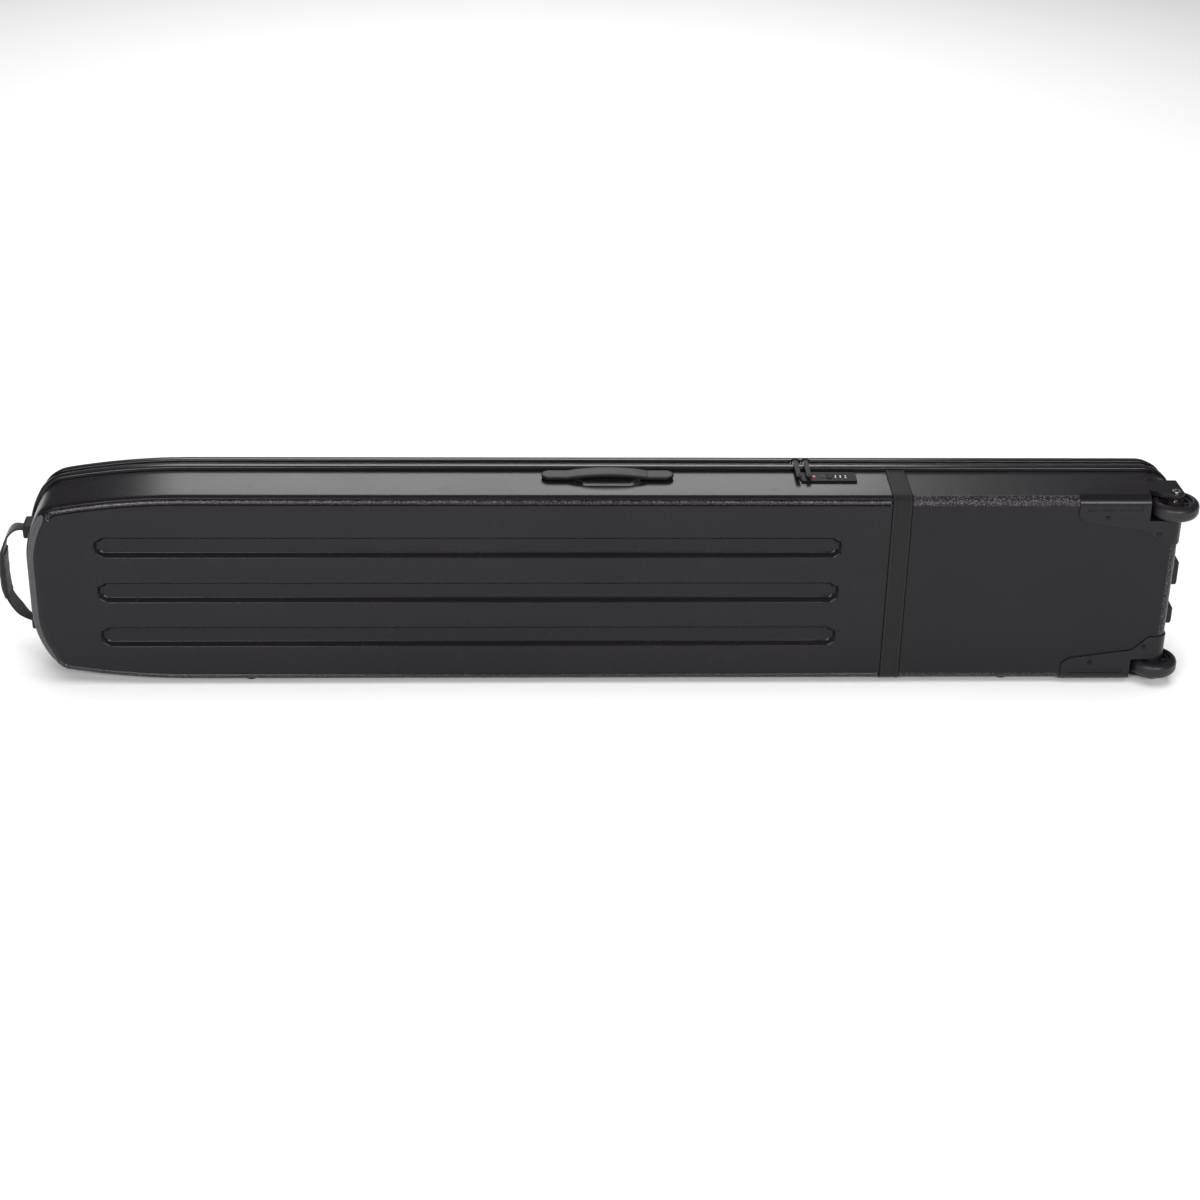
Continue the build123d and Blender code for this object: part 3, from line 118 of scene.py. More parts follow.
def squared(wave, power):
    """A sine or cosine drawn toward a square wave: sign(w) |w|^power."""
    return np.sign(wave) * np.abs(wave) ** power


def together(*parts):
    """Numbers and arrays brought to one shape and stacked as the last axis."""
    return np.stack(np.broadcast_arrays(*parts), -1)


def rays(angle):
    """Unit vectors (cos, sin) of angles in radians."""
    return together(np.cos(angle), np.sin(angle))


def run_along(path):
    """Distance from the start of a path to each of its points."""
    return np.concatenate([[0], np.cumsum(np.linalg.norm(np.diff(path, axis=0), axis=1))])


def pressed(inside, run, depth, ease=1.0):
    """A wall that falls by depth over a run measured inward, averaged over 2 ease so that both lips are round."""
    def total(q):
        ramp = np.clip(q, 0, run)
        return depth * (ramp * ramp / (2 * run) + np.maximum(q - run, 0))
    return (total(inside + ease) - total(inside - ease)) / (2 * ease)


def value_noise(x, y, seed):
    """Random values on a square lattice joined by smoothstep weights along both directions."""
    size = 64
    table = np.random.default_rng(seed).random((size, size))
    x0, y0 = np.floor(x).astype(int), np.floor(y).astype(int)
    fx, fy = smooth(x - x0), smooth(y - y0)
    a, b = table[x0 % size, y0 % size], table[(x0 + 1) % size, y0 % size]
    c, d = table[x0 % size, (y0 + 1) % size], table[(x0 + 1) % size, (y0 + 1) % size]
    return (a * (1 - fx) + b * fx) * (1 - fy) + (c * (1 - fx) + d * fx) * fy


def spread(breaks, step):
    """Stations from the first break to the last that hit every break, no further apart than step."""
    out = [np.linspace(a, b, max(1, math.ceil((b - a) / (step if np.isscalar(step) else step[i]))) + 1)[:-1]
           for i, (a, b) in enumerate(zip(breaks[:-1], breaks[1:]))]
    return np.concatenate(out + [np.array([breaks[-1]], float)])


# ---------------------------------------------------------------- outline of the case
def upper_half(stations, tail=True, fine=1.0):
    """Half outline: centre + radius * (cos, sin) over brow, corner and shoulder, the straight, the tail corner.

    Returns points and outward normals in X and Z above the middle, from the nose to the tail."""
    t1, t2 = math.radians(SHOULDER_TURN), math.radians(CORNER_TURN)
    step_1, step_2 = SHOULDER - CORNER, CORNER - BROW
    shoulder_x = NOSE_X + BROW + step_1 * math.sin(t1) + step_2 * math.sin(t2)
    corner_x = shoulder_x - step_1 * math.sin(t1)
    brow_x = corner_x - step_2 * math.sin(t2)
    rise = HALF - SHOULDER
    corner_rise = rise + step_1 * math.cos(t1)
    brow_rise = corner_rise + step_2 * math.cos(t2)
    panel_from, panel_to = -741, -716
    along = spread([shoulder_x - SHOULDER * math.sin(t1), panel_from, panel_to, shoulder_x],
                   [6 / fine, 1.3, 6 / fine])[:-1]

    def turned(start, end, count):
        return np.radians(np.linspace(start, end, int(count * fine), endpoint=False))

    arcs = [((brow_x, brow_rise), BROW, turned(180, 90 + CORNER_TURN, 14)),
            ((corner_x, corner_rise), CORNER, turned(90 + CORNER_TURN, 90 + SHOULDER_TURN, 22)),
            ((shoulder_x, rise), SHOULDER, np.arccos((along - shoulder_x) / SHOULDER))]
    parts = [(np.array(centre) + radius * rays(angle), rays(angle)) for centre, radius, angle in arcs]
    straight = stations[stations >= shoulder_x - 1e-6]
    if straight[0] - shoulder_x > 1e-3:
        straight = np.concatenate([[shoulder_x], straight])
    parts.append((together(straight, HALF), np.tile([0.0, 1.0], (len(straight), 1))))
    if tail:
        ray = rays(np.radians(np.linspace(90, 0, int(18 * fine) + 1)[1:]))
        parts.append((TAIL_CENTRE + TAIL_CORNER * ray, ray))
    return [np.concatenate(part) for part in zip(*parts)]


def face_rows(high, weight, rows, full):
    """Heights of the rows of a column: rows scaled to the column's height, blended with rows kept level."""
    keep = 100.0
    size = np.abs(rows)
    outer = np.sign(rows) * (keep + (high - keep) * (size - keep) / (full - keep))
    level = np.where(size <= keep, rows, outer)
    return (1 - weight) * rows * (high / full) + weight * level


def face_y(side, level):
    """Depth of the tub's face (side -1) or the lid's (side 1), moved outward by level."""
    return (FRONT_Y if side < 0 else BACK_Y) + side * level


class Loop:
    """The case's outline with a radius for each column of the rounded edge, and the rows of its flat face."""

    def __init__(self, stations, rows, radius, nose_radius=None, nose=True, tail=True, fine=1.0):
        if nose:
            up, un = upper_half(stations, tail, fine)
        else:
            ray = rays(np.radians(np.linspace(90, 0, 19)[1:]))
            ray[-1] = (1, 0)
            up = np.concatenate([together(stations, HALF), TAIL_CENTRE + TAIL_CORNER * ray])
            un = np.concatenate([np.tile([0.0, 1.0], (len(stations), 1)), ray])
        self.rows, self.full = rows, HALF - radius
        r_up = radius + ((nose_radius or radius) - radius) * smooth((-un[:, 0] - 0.25) / 0.7)
        self.face_x, self.face_h = (up - r_up[:, None] * un).T
        self.weight = smooth((self.face_x + 788) / 40) if nose else np.ones(len(up))

        def end_line(index, x, way):
            z = face_rows(self.face_h[index], self.weight[index], rows, self.full)[1:-1][::-way]
            return together(x, z), np.tile([float(way), 0.0], (len(z), 1)), np.full(len(z), r_up[index])

        upper, lower = (up, un, r_up), (up[::-1] * [1, -1], un[::-1] * [1, -1], r_up[::-1])
        parts = [lower, end_line(0, NOSE_X, -1), upper] if nose else [upper, end_line(-1, TAIL_X, 1), lower]
        if nose and tail:
            parts += [end_line(-1, TAIL_X, 1), [part[:1] for part in lower]]
        self.points, self.normals, self.radius = (np.concatenate(part) for part in zip(*parts))
        self.along = run_along(self.points)

    def place(self, offset, depth):
        """Outline point + offset * normal, at depth along Y; offset and depth are (columns, rows)."""
        flat = self.points[:, None, :] + self.normals[:, None, :] * offset[..., None]
        return together(flat[..., 0], depth, flat[..., 1] + MIDDLE_Z)

    def ring(self, wall_y, arcs, side, level=0.0):
        """Wall along Y then a quarter turn of radius r: offset = r cos - r, depth = edge + r sin, moved by level.

        Returns the points, the outward direction of each and the distance along the quarter turn."""
        front = face_y(side, level)
        r = (self.radius + level)[:, None]
        start = wall_y[0]
        edge = front - side * r
        share = (wall_y - start) / (front - side * (self.radius.min() + level) - start)
        y_wall = start + (edge - start) * share[None, :-1]
        angle = np.radians(arcs)[None, :]
        offset = np.concatenate([np.full_like(y_wall, level), level - r * (1 - np.cos(angle))], 1)
        depth = np.concatenate([y_wall, edge + side * r * np.sin(angle)], 1)
        turn = np.concatenate([np.zeros_like(y_wall), np.broadcast_to(angle, (len(r), angle.shape[1]))], 1)
        out = together(self.normals[:, None, 0] * np.cos(turn), side * np.sin(turn),
                       self.normals[:, None, 1] * np.cos(turn))
        return self.place(offset, depth), out, turn * r

    def face(self, side, level=0.0):
        """The flat face as columns of rows between the inner ends of the rounded edge."""
        z = face_rows(self.face_h[:, None], self.weight[:, None], self.rows, self.full)
        return together(self.face_x[:, None], face_y(side, level), z + MIDDLE_Z)


def channel_depth(x, z, grow=0.0):
    """Depth of the three channels: a smooth wall of the distance inward from an eight-sided outline."""
    half = CHANNEL_HALF + grow
    ends = [x - CHANNEL_START + grow, CHANNEL_END - x + grow]
    depth = 0.0
    for step in (-1, 0, 1):
        v = np.abs(z - MIDDLE_Z - CHANNEL_MIDDLE - step * CHANNEL_PITCH)
        cuts = [(end * CUT_HIGH - (v - half + CUT_HIGH) * CUT_LONG) / math.hypot(CUT_HIGH, CUT_LONG)
                for end in ends]
        depth = depth + pressed(np.minimum.reduce([half - v, *ends, *cuts]), 5.0, CHANNEL_DEPTH, 0.9)
    return depth


def channel_rows(full):
    """Heights that follow the lips and feet of the three channels, and evenly between them."""
    near = np.array([-1.0, -0.3, 0.4, 1.2, 2.6, 4.0, 4.9, 5.8])
    rows = [-full, -125, -110, -102, 96, 104, 112, 125, full]
    for step in (-1, 0, 1):
        middle = CHANNEL_MIDDLE + step * CHANNEL_PITCH
        rows += [*(middle - CHANNEL_HALF + near), *(middle + CHANNEL_HALF - near), middle - 6, middle, middle + 6]
    rows += [CHANNEL_MIDDLE + gap * CHANNEL_PITCH + d for gap in (-0.5, 0.5) for d in (-10, 0, 10)]
    return np.array(sorted(rows))


# ---------------------------------------------------------------- meshes
FINISHES = {}


def quads(shape, keep=None):
    """Quads of a grid of points as four shifted copies of its numbering; keep masks them."""
    ids = np.arange(shape[0] * shape[1]).reshape(shape[:2])
    q = np.stack([ids[:-1, :-1], ids[1:, :-1], ids[1:, 1:], ids[:-1, 1:]], -1)
    return q[keep] if keep is not None else q.reshape(-1, 4)


def patch(points, keep=None, uv=(0.0, 0.0), grain=0.0):
    """One grid of a piece: its points, the quads kept, and the UV and grain that each point carries."""
    shape = points.shape[:2]
    return (points.reshape(-1, 3), quads(shape, keep), np.broadcast_to(uv, shape + (2,)).reshape(-1, 2),
            np.broadcast_to(grain, shape).reshape(-1))


def middles(points):
    """Middle of each quad of a grid, halfway between two opposite corners."""
    return (points[:-1, :-1] + points[1:, 1:]) / 2


def off_pocket(points):
    """Which quads of a grid stay outside the two tail corners that the wheel housings fill."""
    x, y, z = np.moveaxis(middles(points), -1, 0)
    return ~((x > POCKET_X) & (y < POCKET_Y) & (np.abs(z - MIDDLE_Z) > POCKET_Z))


def off_window(points, middle_x, middle_y, half_x, half_y):
    """Which quads of a ring stay outside a window in the top wall."""
    x, y, z = np.moveaxis(middles(points), -1, 0)
    return ~((np.abs(x - middle_x) < half_x) & (np.abs(y - middle_y) < half_y) & (z > TOP_Z - 8))


def off_bottom(points, start, end):
    """Which quads of a ring lie outside a stretch of the bottom side."""
    x, _, z = np.moveaxis(middles(points), -1, 0)
    return ~((x > start) & (x < end) & (z < MIDDLE_Z))


def new_piece(name, patches, finish, body, slot, stands_for=(), weld=0.02, **more):
    """Join the grids, weld their seams, turn the faces outward and put the piece on its body."""
    points, faces, uvs, grains, start = [], [], [], [], 0
    for p, q, uv, grain in patches:
        points.append(p), faces.append(q + start), uvs.append(uv), grains.append(grain)
        start += len(p)
    points, faces, uvs, grains = map(np.concatenate, (points, faces, uvs, grains))
    mesh = bpy.data.meshes.new(name)
    mesh.from_pydata((points * MM).tolist(), [], faces.tolist())
    layer = mesh.uv_layers.new(name="UVMap")
    layer.data.foreach_set("uv", uvs[faces.ravel()].astype(np.float32).ravel())
    # The grain attribute: where the shader bumps pebbles and paints glints on them.
    mark = mesh.attributes.new("grain", "FLOAT", "POINT")
    mark.data.foreach_set("value", grains.astype(np.float32))
    work = bmesh.new()
    work.from_mesh(mesh)
    bmesh.ops.remove_doubles(work, verts=work.verts, dist=weld * MM)
    bmesh.ops.dissolve_degenerate(work, edges=work.edges, dist=1e-7)
    bmesh.ops.delete(work, geom=[v for v in work.verts if not v.link_faces], context="VERTS")
    bmesh.ops.recalc_face_normals(work, faces=work.faces)
    centre = sum((v.co for v in work.verts), Vector()) / len(work.verts)
    if sum(f.normal.dot(f.calc_center_median() - centre) * f.calc_area() for f in work.faces) < 0:
        bmesh.ops.reverse_faces(work, faces=work.faces)
    work.to_mesh(mesh)
    work.free()
    return finish_piece(bpy.data.objects.new(name, mesh), finish, body, slot, stands_for, **more)


def apply_modifiers(obj):
    """Swap the object's mesh for the one that its modifiers give."""
    view = bpy.context.evaluated_depsgraph_get()
    mesh = bpy.data.meshes.new_from_object(obj.evaluated_get(view))
    obj.modifiers.clear()
    obj.data = mesh


def finish_piece(obj, finish, body, slot, stands_for=(), thick=0.0, rounding=0.0, sharp=38.0):
    """Apply the finishing modifiers, shade it smooth up to the sharp angle, and attach it."""
    bpy.context.scene.collection.objects.link(obj)
    paint(obj, finish)
    if thick:
        m = obj.modifiers.new("Thickness", "SOLIDIFY")
        m.thickness, m.offset = thick * MM, -1.0
    if rounding:
        m = obj.modifiers.new("Rounding", "BEVEL")
        m.width, m.segments, m.limit_method = rounding * MM, 2, "ANGLE"
        m.angle_limit = math.radians(40)
        m.use_clamp_overlap = m.harden_normals = False
    if obj.modifiers:
        apply_modifiers(obj)
    mesh = obj.data
    mesh.polygons.foreach_set("use_smooth", np.ones(len(mesh.polygons), bool))
    mesh.set_sharp_from_angle(angle=math.radians(sharp))
    if rounding:
        obj.modifiers.new("Weighted", "WEIGHTED_NORMAL").keep_sharp = True
        apply_modifiers(obj)
    if body:
        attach(obj, body)
    if stands_for:
        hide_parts(*stands_for)
    return obj


def paint(obj, finish):
    """Give an object one finish and no other."""
    obj.data.materials.clear()
    obj.data.materials.append(FINISHES[finish])


def refined(node, name, finish, body, slot, rounding=0.5):
    """A merged copy of a CAD node, its flat faces joined and its edges rounded, which stands for the node."""
    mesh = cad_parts[node].data.copy()
    mesh.name = name
    work = bmesh.new()
    work.from_mesh(mesh)
    bmesh.ops.remove_doubles(work, verts=work.verts, dist=2e-6)
    bmesh.ops.dissolve_limit(work, angle_limit=math.radians(0.8), verts=work.verts, edges=work.edges)
    work.to_mesh(mesh)
    work.free()
    for old in [a for a in mesh.attributes if a.name == "custom_normal"]:
        mesh.attributes.remove(old)
    return finish_piece(bpy.data.objects.new(name, mesh), finish, body, slot, (node,), rounding=rounding)


def tube(path, across, up, section):
    """A section carried along a path, with its two ends closed by fans to their middles.

    point = path + across * section_u + up * section_v, where path, across and up are (n, 3)
    and section is (n or 1, m, 2)."""
    section = np.repeat(section, len(path), 0) if len(section) == 1 else section
    section = np.concatenate([section, section[:, :1]], 1)
    points = path[:, None, :] + across[:, None, :] * section[..., :1] + up[:, None, :] * section[..., 1:]
    girth = np.linalg.norm(np.diff(section, axis=1), axis=2)
    girth = np.concatenate([np.zeros((len(section), 1)), np.cumsum(girth, 1)], 1)
    ends = [patch(np.stack([ring, np.broadcast_to(ring[:-1].mean(0), ring.shape)])) for ring in points[[0, -1]]]
    return [patch(points, uv=together(run_along(path)[:, None], girth) * MM)] + ends


def box_section(width, height, corner, steps=4):
    """A rectangle with round corners as points round its middle; width and height may vary along the path."""
    width, height = (np.atleast_1d(side).astype(float)[:, None] for side in (width, height))
    angle = np.radians(np.concatenate([np.linspace(q, q + 90, steps + 1) for q in (0, 90, 180, 270)]))
    corner = np.minimum(corner, np.minimum(width, height) / 2 * 0.98)
    u = np.repeat([1, -1, -1, 1], steps + 1) * (width / 2 - corner) + corner * np.cos(angle)
    v = np.repeat([1, 1, -1, -1], steps + 1) * (height / 2 - corner) + corner * np.sin(angle)
    return together(u, v)


def lathe(profile, centre, count=96):
    """A profile of (radius, height) turned about Z: centre + radius * (cos, sin) + height."""
    angle = np.linspace(0, FULL_TURN, count + 1)[:, None]
    radius, height = profile.T
    points = together(radius * np.cos(angle), radius * np.sin(angle), height) + np.array(centre)
    return patch(points, uv=together(angle * radius.max(), run_along(profile)) * MM)


def spline(control, count):
    """A uniform cubic B-spline through doubled ends: four basis weights on sliding control points."""
    control = np.asarray(control, float)
    c = np.concatenate([control[:1], control[:1], control, control[-1:], control[-1:]])
    t = np.linspace(0, len(c) - 3 - 1e-9, count)
    i, f = np.floor(t).astype(int), (t - np.floor(t))[:, None]
    w = ((1 - f) ** 3, 3 * f ** 3 - 6 * f ** 2 + 4, -3 * f ** 3 + 3 * f ** 2 + 3 * f + 1, f ** 3)
    return sum(w[k] * c[i + k] for k in range(4)) / 6


def resample(run, marks, values):
    """The columns of values, known at the distances run, read at the distances marks."""
    return together(*(np.interp(marks, run, column) for column in values.T))


def side_of(path, fixed):
    """The unit tangent of a path, and the direction square to it and to a fixed direction."""
    tangent = np.gradient(path, axis=0)
    tangent /= np.linalg.norm(tangent, axis=1, keepdims=True)
    up = np.cross(tangent, fixed)
    return tangent, up / np.linalg.norm(up, axis=1, keepdims=True)


def stitches(name, points, forward, outward, finish, body, slot, length=2.2, size=0.7):
    """A row of thread stitches: a low rounded bar copied to every point along its forward direction."""
    count = 5
    a, b = np.linspace(0, math.pi, count), np.linspace(-1, 1, count)[:, None]
    bulge = np.sqrt(np.clip(1 - b ** 4, 0.05, 1)) * size / 2
    bar = np.broadcast_arrays(b * length / 2, bulge * np.cos(a), bulge * np.sin(a))
    ways = (forward, np.cross(forward, outward), outward)
    bars = points[:, None, None, :] + sum(way[:, None, None, :] * part[None, ..., None]
                                          for way, part in zip(ways, bar))
    faces = (quads((count, count))[None] + (np.arange(len(points)) * count ** 2)[:, None, None]).reshape(-1, 4)
    flat = bars.reshape(-1, 3)
    grids = [(flat, faces, np.zeros((len(flat), 2)), np.zeros(len(flat)))]
    return new_piece(name, grids, finish, body, slot, weld=0.001)


# ---------------------------------------------------------------- shader maths
class Signal:
    """A socket of a shader tree; arithmetic on it adds Math nodes."""

    def __init__(self, finish, socket):
        self.finish, self.socket = finish, socket

    def math(self, operation, *values):
        return self.finish.node("ShaderNodeMath", {"operation": operation}, dict(enumerate(values)))

    def __add__(self, other):
        return self.math("ADD", self, other)

    def __sub__(self, other):
        return self.math("SUBTRACT", self, other)

    def __rsub__(self, other):
        return self.math("SUBTRACT", other, self)

    def __mul__(self, other):
        return self.math("MULTIPLY", self, other)

    __radd__, __rmul__ = __add__, __mul__

    def within(self, low, high):
        """Smoothstep of the signal between two limits, from 0 to 1."""
        settings = {"interpolation_type": "SMOOTHSTEP"}
        return self.finish.node("ShaderNodeMapRange", settings, {0: self, 1: low, 2: high})

    def sine(self):
        return self.math("SINE", self)


class Finish:
    """A material and the tree that makes it."""

    def __init__(self, name, roughness, **constants):
        self.material = bpy.data.materials.new(name)
        self.material.use_nodes = True
        self.tree = self.material.node_tree
        self.tree.nodes.clear()
        out = self.tree.nodes.new("ShaderNodeOutputMaterial")
        self.shader = self.tree.nodes.new("ShaderNodeBsdfPrincipled")
        self.tree.links.new(self.shader.outputs[0], out.inputs[0])
        self.shader.inputs["Roughness"].default_value = roughness
        for socket, value in constants.items():
            self.shader.inputs[socket.replace("_", " ")].default_value = value

    def node(self, kind, settings=None, values=None, output=0):
        """Add a node: settings first, then each socket's value or link. Returns one of its outputs."""
        made = self.tree.nodes.new(kind)
        for key, value in (settings or {}).items():
            setattr(made, key, value)
        for key, value in (values or {}).items():
            if isinstance(value, Signal):
                self.tree.links.new(value.socket, made.inputs[key])
            else:
                made.inputs[key].default_value = value
        return Signal(self, made.outputs[output])

    def place(self):
        return self.node("ShaderNodeTexCoord", output="Object")

    def noise(self, vector, scale, detail=2.0, rough=0.5):
        values = {"Vector": vector, "Scale": scale, "Detail": detail, "Roughness": rough}
        return self.node("ShaderNodeTexNoise", {"noise_dimensions": "3D"}, values)

    def colour(self, factor, low, high):
        """Mix two colours by a factor."""
        values = {0: factor, 6: (*low, 1.0), 7: (*high, 1.0)}
        return self.node("ShaderNodeMix", {"data_type": "RGBA", "clamp_factor": False}, values, output=2)

    def drive(self, socket, signal):
        self.tree.links.new(signal.socket, self.shader.inputs[socket])

    def bump(self, height, distance):
        """Bump from a height between 0 and 1 that stands for distance metres."""
        values = {"Strength": 1.0, "Distance": distance, "Height": height}
        self.drive("Normal", self.node("ShaderNodeBump", None, values))


def tinted(colour, factor=1.0):
    return tuple(min(1.0, c * factor) for c in tuple(colour)[:3])


def moulded(name, colour, rough, grain, grain_scale, specular=0.3, scuff=1.0, pebble=False):
    """Moulded plastic: large soft colour variation, fine moulding grain, faint rubbed marks; on pebbled pieces,
    painted glints that light up the pebble tops.
    """
    f = Finish(name, rough, Specular_IOR_Level=specular)
    at = f.place()
    cloud = f.noise(at, 5.0, 3.0)
    rub = f.noise(at, 38.0, 5.0, 0.65).within(0.55, 0.78)
    fine = f.noise(at, grain_scale, 2.0)
    tone = cloud * 0.7 + rub * (0.3 * scuff)
    f.drive("Roughness", rough + (cloud - 0.5) * 0.10 + rub * (0.04 * scuff) + (fine - 0.5) * 0.06)
    height = fine
    if pebble:
        mark = f.node("ShaderNodeAttribute", {"attribute_name": "grain"}, output="Fac")
        cells = f.node("ShaderNodeTexVoronoi", {"feature": "F1"}, {"Vector": at, "Scale": 520.0})
        coarse = f.noise(at, 470.0, 2.0, 0.7)
        height = fine * 0.15 + (cells.within(0.05, 0.75) * 0.7 + coarse) * mark * 1.6
        # Painted glints: the peaks of the coarse noise on the pebbled strip are painted many times lighter, standing
        # for sparkles of light on the pebbles.
        tone = tone + mark * (coarse - 0.49).within(0.0, 0.14) * 14.0
    f.drive("Base Color", f.colour(tone, tinted(colour, 0.8), tinted(colour, 1.55)))
    f.bump(height, grain)
    return f.material


def woven(name, colour, pitch, rough=0.75, sheen=0.25, depth=0.00022, twill=False):
    """Woven tape: warp and weft as two sine waves in antiphase, with a few raised slubs."""
    f = Finish(name, rough, Sheen_Weight=sheen, Sheen_Roughness=0.4, Specular_IOR_Level=0.3)
    at = f.node("ShaderNodeTexCoord", output="UV")
    axes = f.node("ShaderNodeSeparateXYZ", None, {0: at}).socket.node.outputs
    u, v = Signal(f, axes[0]), Signal(f, axes[1])
    wave = FULL_TURN / pitch
    warp = ((u + v * 0.5 if twill else u) * wave).sine()
    weave = warp * (v * wave).sine() * 0.5 + 0.5
    slub = f.noise(at, 900.0, 2.0)
    cloud = f.noise(f.place(), 16.0, 3.0)
    f.drive("Base Color", f.colour(weave * 0.55 + cloud * 0.5, tinted(colour, 0.55), tinted(colour, 1.5)))
    f.drive("Roughness", rough + (slub - 0.5) * 0.2)
    f.bump(weave * 0.8 + slub * 0.35, depth)
    return f.material


def metal(name, colour, rough, worn=0.15):
    """Plated metal: fine brushing along X, with duller worn patches."""
    f = Finish(name, rough, Metallic=1.0)
    at = f.place()
    stretch = f.node("ShaderNodeMapping", None, {"Vector": at, "Scale": (0.15, 1.0, 1.0)})
    line = f.noise(stretch, 400.0, 3.0)
    patchy = f.noise(at, 90.0, 4.0, 0.6).within(0.4, 0.8)
    f.drive("Base Color", f.colour(patchy * 0.6 + line * 0.3, tinted(colour), tinted(colour, 0.55)))
    f.drive("Roughness", rough + patchy * worn + (line - 0.5) * 0.12)
    f.bump(line, 0.00004)
    return f.material


def rubber(name, colour, rough, dust):
    """Rubber: fine matt grain with pale dust in broken patches."""
    f = Finish(name, rough, Specular_IOR_Level=0.4)
    at = f.place()
    grain = f.noise(at, 1500.0, 2.0)
    dusty = f.noise(at, 55.0, 5.0, 0.7).within(0.52, 0.8)
    f.drive("Base Color", f.colour(dusty * dust, tinted(colour), tinted(colour, 4.0)))
    f.drive("Roughness", rough + dusty * 0.2 + (grain - 0.5) * 0.1)
    f.bump(grain, 0.00008)
    return f.material


def make_finishes(colours):
    """All of the case's materials by name: colour, roughness, height and scale of the grain, specular level."""
    shell, webbing = tinted(colours.shell), tinted(colours.webbing)
    FINISHES.update(
        bead=moulded("beaded_black_shell", shell, 0.26, 0.00008, 1500.0, 0.22, pebble=True),
        textured_shell=moulded("pebbled_black_shell", shell, 0.36, 0.00018, 1400.0, 0.21, pebble=True),
        lid_shell=moulded("satin_black_lid", shell, 0.29, 0.00002, 900.0, 0.22),
        rim=moulded("rim_black", shell, 0.24, 0.00002, 1200.0, scuff=0.6),
        housing=moulded("housing_black", shell, 0.30, 0.00003, 2200.0, 0.24),
        grip=moulded("soft_grip", shell, 0.40, 0.00008, 1800.0, 0.2),
        lock=moulded("lock_black", shell, 0.46, 0.00004, 2000.0, 0.10),
        # Near-black and nearly without gloss: painted shadow for the strips beside the joint band.
        seal=moulded("seal_black", tinted(shell, 0.3), 0.6, 0.00003, 2000.0, 0.04),
        dial=moulded("dial_black", tinted(shell, 0.6), 0.48, 0.00003, 2000.0, 0.06),
        buckle=moulded("buckle_black", tinted(shell, 1.3), 0.42, 0.00004, 1800.0, 0.2),
        coil=moulded("nylon_coil", tinted(shell, 1.3), 0.36, 0.00002, 2500.0, 0.2),
        hub=moulded("hub_plastic", tinted(shell, 1.8), 0.4, 0.00006, 1800.0),
        pull=moulded("pull_grip", tinted(shell, 1.2), 0.46, 0.00006, 1600.0, 0.14),
        indicator=moulded("red_indicator", colours.indicator, 0.3, 0.00003, 2000.0, scuff=0.2),
        numeral=moulded("numeral_paint", colours.numeral, 0.5, 0.00002, 2000.0, scuff=0.1),
        webbing=woven("black_webbing", webbing, 0.0014),
        band=woven("black_band", tinted(webbing, 0.5), 0.0014, sheen=0.1),
        sleeve=woven("black_sleeve", tinted(webbing, 0.8), 0.0009, twill=True),
        tape=woven("black_zip_tape", webbing, 0.0008),
        hinge=woven("black_hinge_cloth", webbing, 0.0010, twill=True),
        lining=woven("grey_lining", colours.lining, 0.0016, 0.85, 0.15, depth=0.00018),
        thread=rubber("black_thread", tinted(webbing, 2.6), 0.6, 0.1),
        tyre=rubber("wheel_rubber", tinted(shell, 1.2), 0.42, 0.30),
        foot=rubber("foot_rubber", tinted(shell, 1.1), 0.6, 0.3),
        steel=metal("plated_steel", (0.46, 0.45, 0.40), 0.28),
        dark_steel=metal("blackened_steel", (0.025, 0.025, 0.026), 0.38),
        chrome=metal("chromed_post", (0.70, 0.70, 0.71), 0.12, worn=0.05),
        zinc=metal("zinc_slider", (0.055, 0.053, 0.052), 0.24),
    )


# ---------------------------------------------------------------- settings
def length_property(name, description, default, low, high):
    """A length in metres."""
    return bpy.props.FloatProperty(name=name, description=description, default=default, min=low, max=high,
                                   precision=4, unit="LENGTH")


def colour_property(name, description, default):
    """A colour swatch without alpha."""
    return bpy.props.FloatVectorProperty(name=name, description=description, default=default,
                                         subtype="COLOR", size=3, min=0.0, max=1.0)


class CaseSizes(bpy.types.PropertyGroup):
    """Sizes of the looks that a user would change."""

    nose_radius: length_property("Nose edge radius", "Radius of the tub's front edge at the nose",
                                 0.026, 0.013, 0.040)
    bead_height: length_property("Bead height", "How far the bead along the front edge stands up",
                                 0.0009, 0.0, 0.002)
    groove_depth: length_property("Groove depth", "Depth of the two grooves beside the bead", 0.0013, 0.0, 0.002)
    pebble_height: length_property("Pebble height", "Height of the coarse grain on the tail tub's edge",
                                   0.0007, 0.0, 0.002)
    tooth_pitch: length_property("Zip tooth pitch", "Distance between two teeth of the zip's coil",
                                 0.0025, 0.001, 0.006)
    stitch_pitch: length_property("Stitch pitch", "Distance between two stitches of the webbing",
                                  0.0034, 0.002, 0.01)
    lid_press: length_property("Lid panel depth", "Depth of the panels pressed into the lid",
                               0.0022, 0.0, 0.0028)


class CaseColours(bpy.types.PropertyGroup):
    """Colours of the case's finishes."""

    shell: colour_property("Shell", "Moulded shells, rims and housings", (0.0066, 0.0056, 0.0070))
    webbing: colour_property("Webbing", "Straps, band and zip tapes", (0.011, 0.0105, 0.0105))
    lining: colour_property("Lining", "Cloth inside the tub and the lid", (0.055, 0.056, 0.060))
    indicator: colour_property("Indicator", "Dot that shows the lock's state", (0.55, 0.02, 0.025))
    numeral: colour_property("Numerals", "Paint of the numbers on the dials", (0.80, 0.80, 0.78))
    floor: colour_property("Floor", "Studio floor", (0.82, 0.82, 0.82))


# ---------------------------------------------------------------- operators
class PieceOperator:
    """What every piece's operator shares: new surfaces, then refined copies of the CAD nodes in its list."""

    bl_options = {"REGISTER", "UNDO"}
    copies = ()

    def build(self, sizes):
        """Nothing new here unless an operator says so."""

    def execute(self, context):
        self.build(context.scene.case_sizes)
        for copy in self.copies:
            refined(*copy)
        return {"FINISHED"}


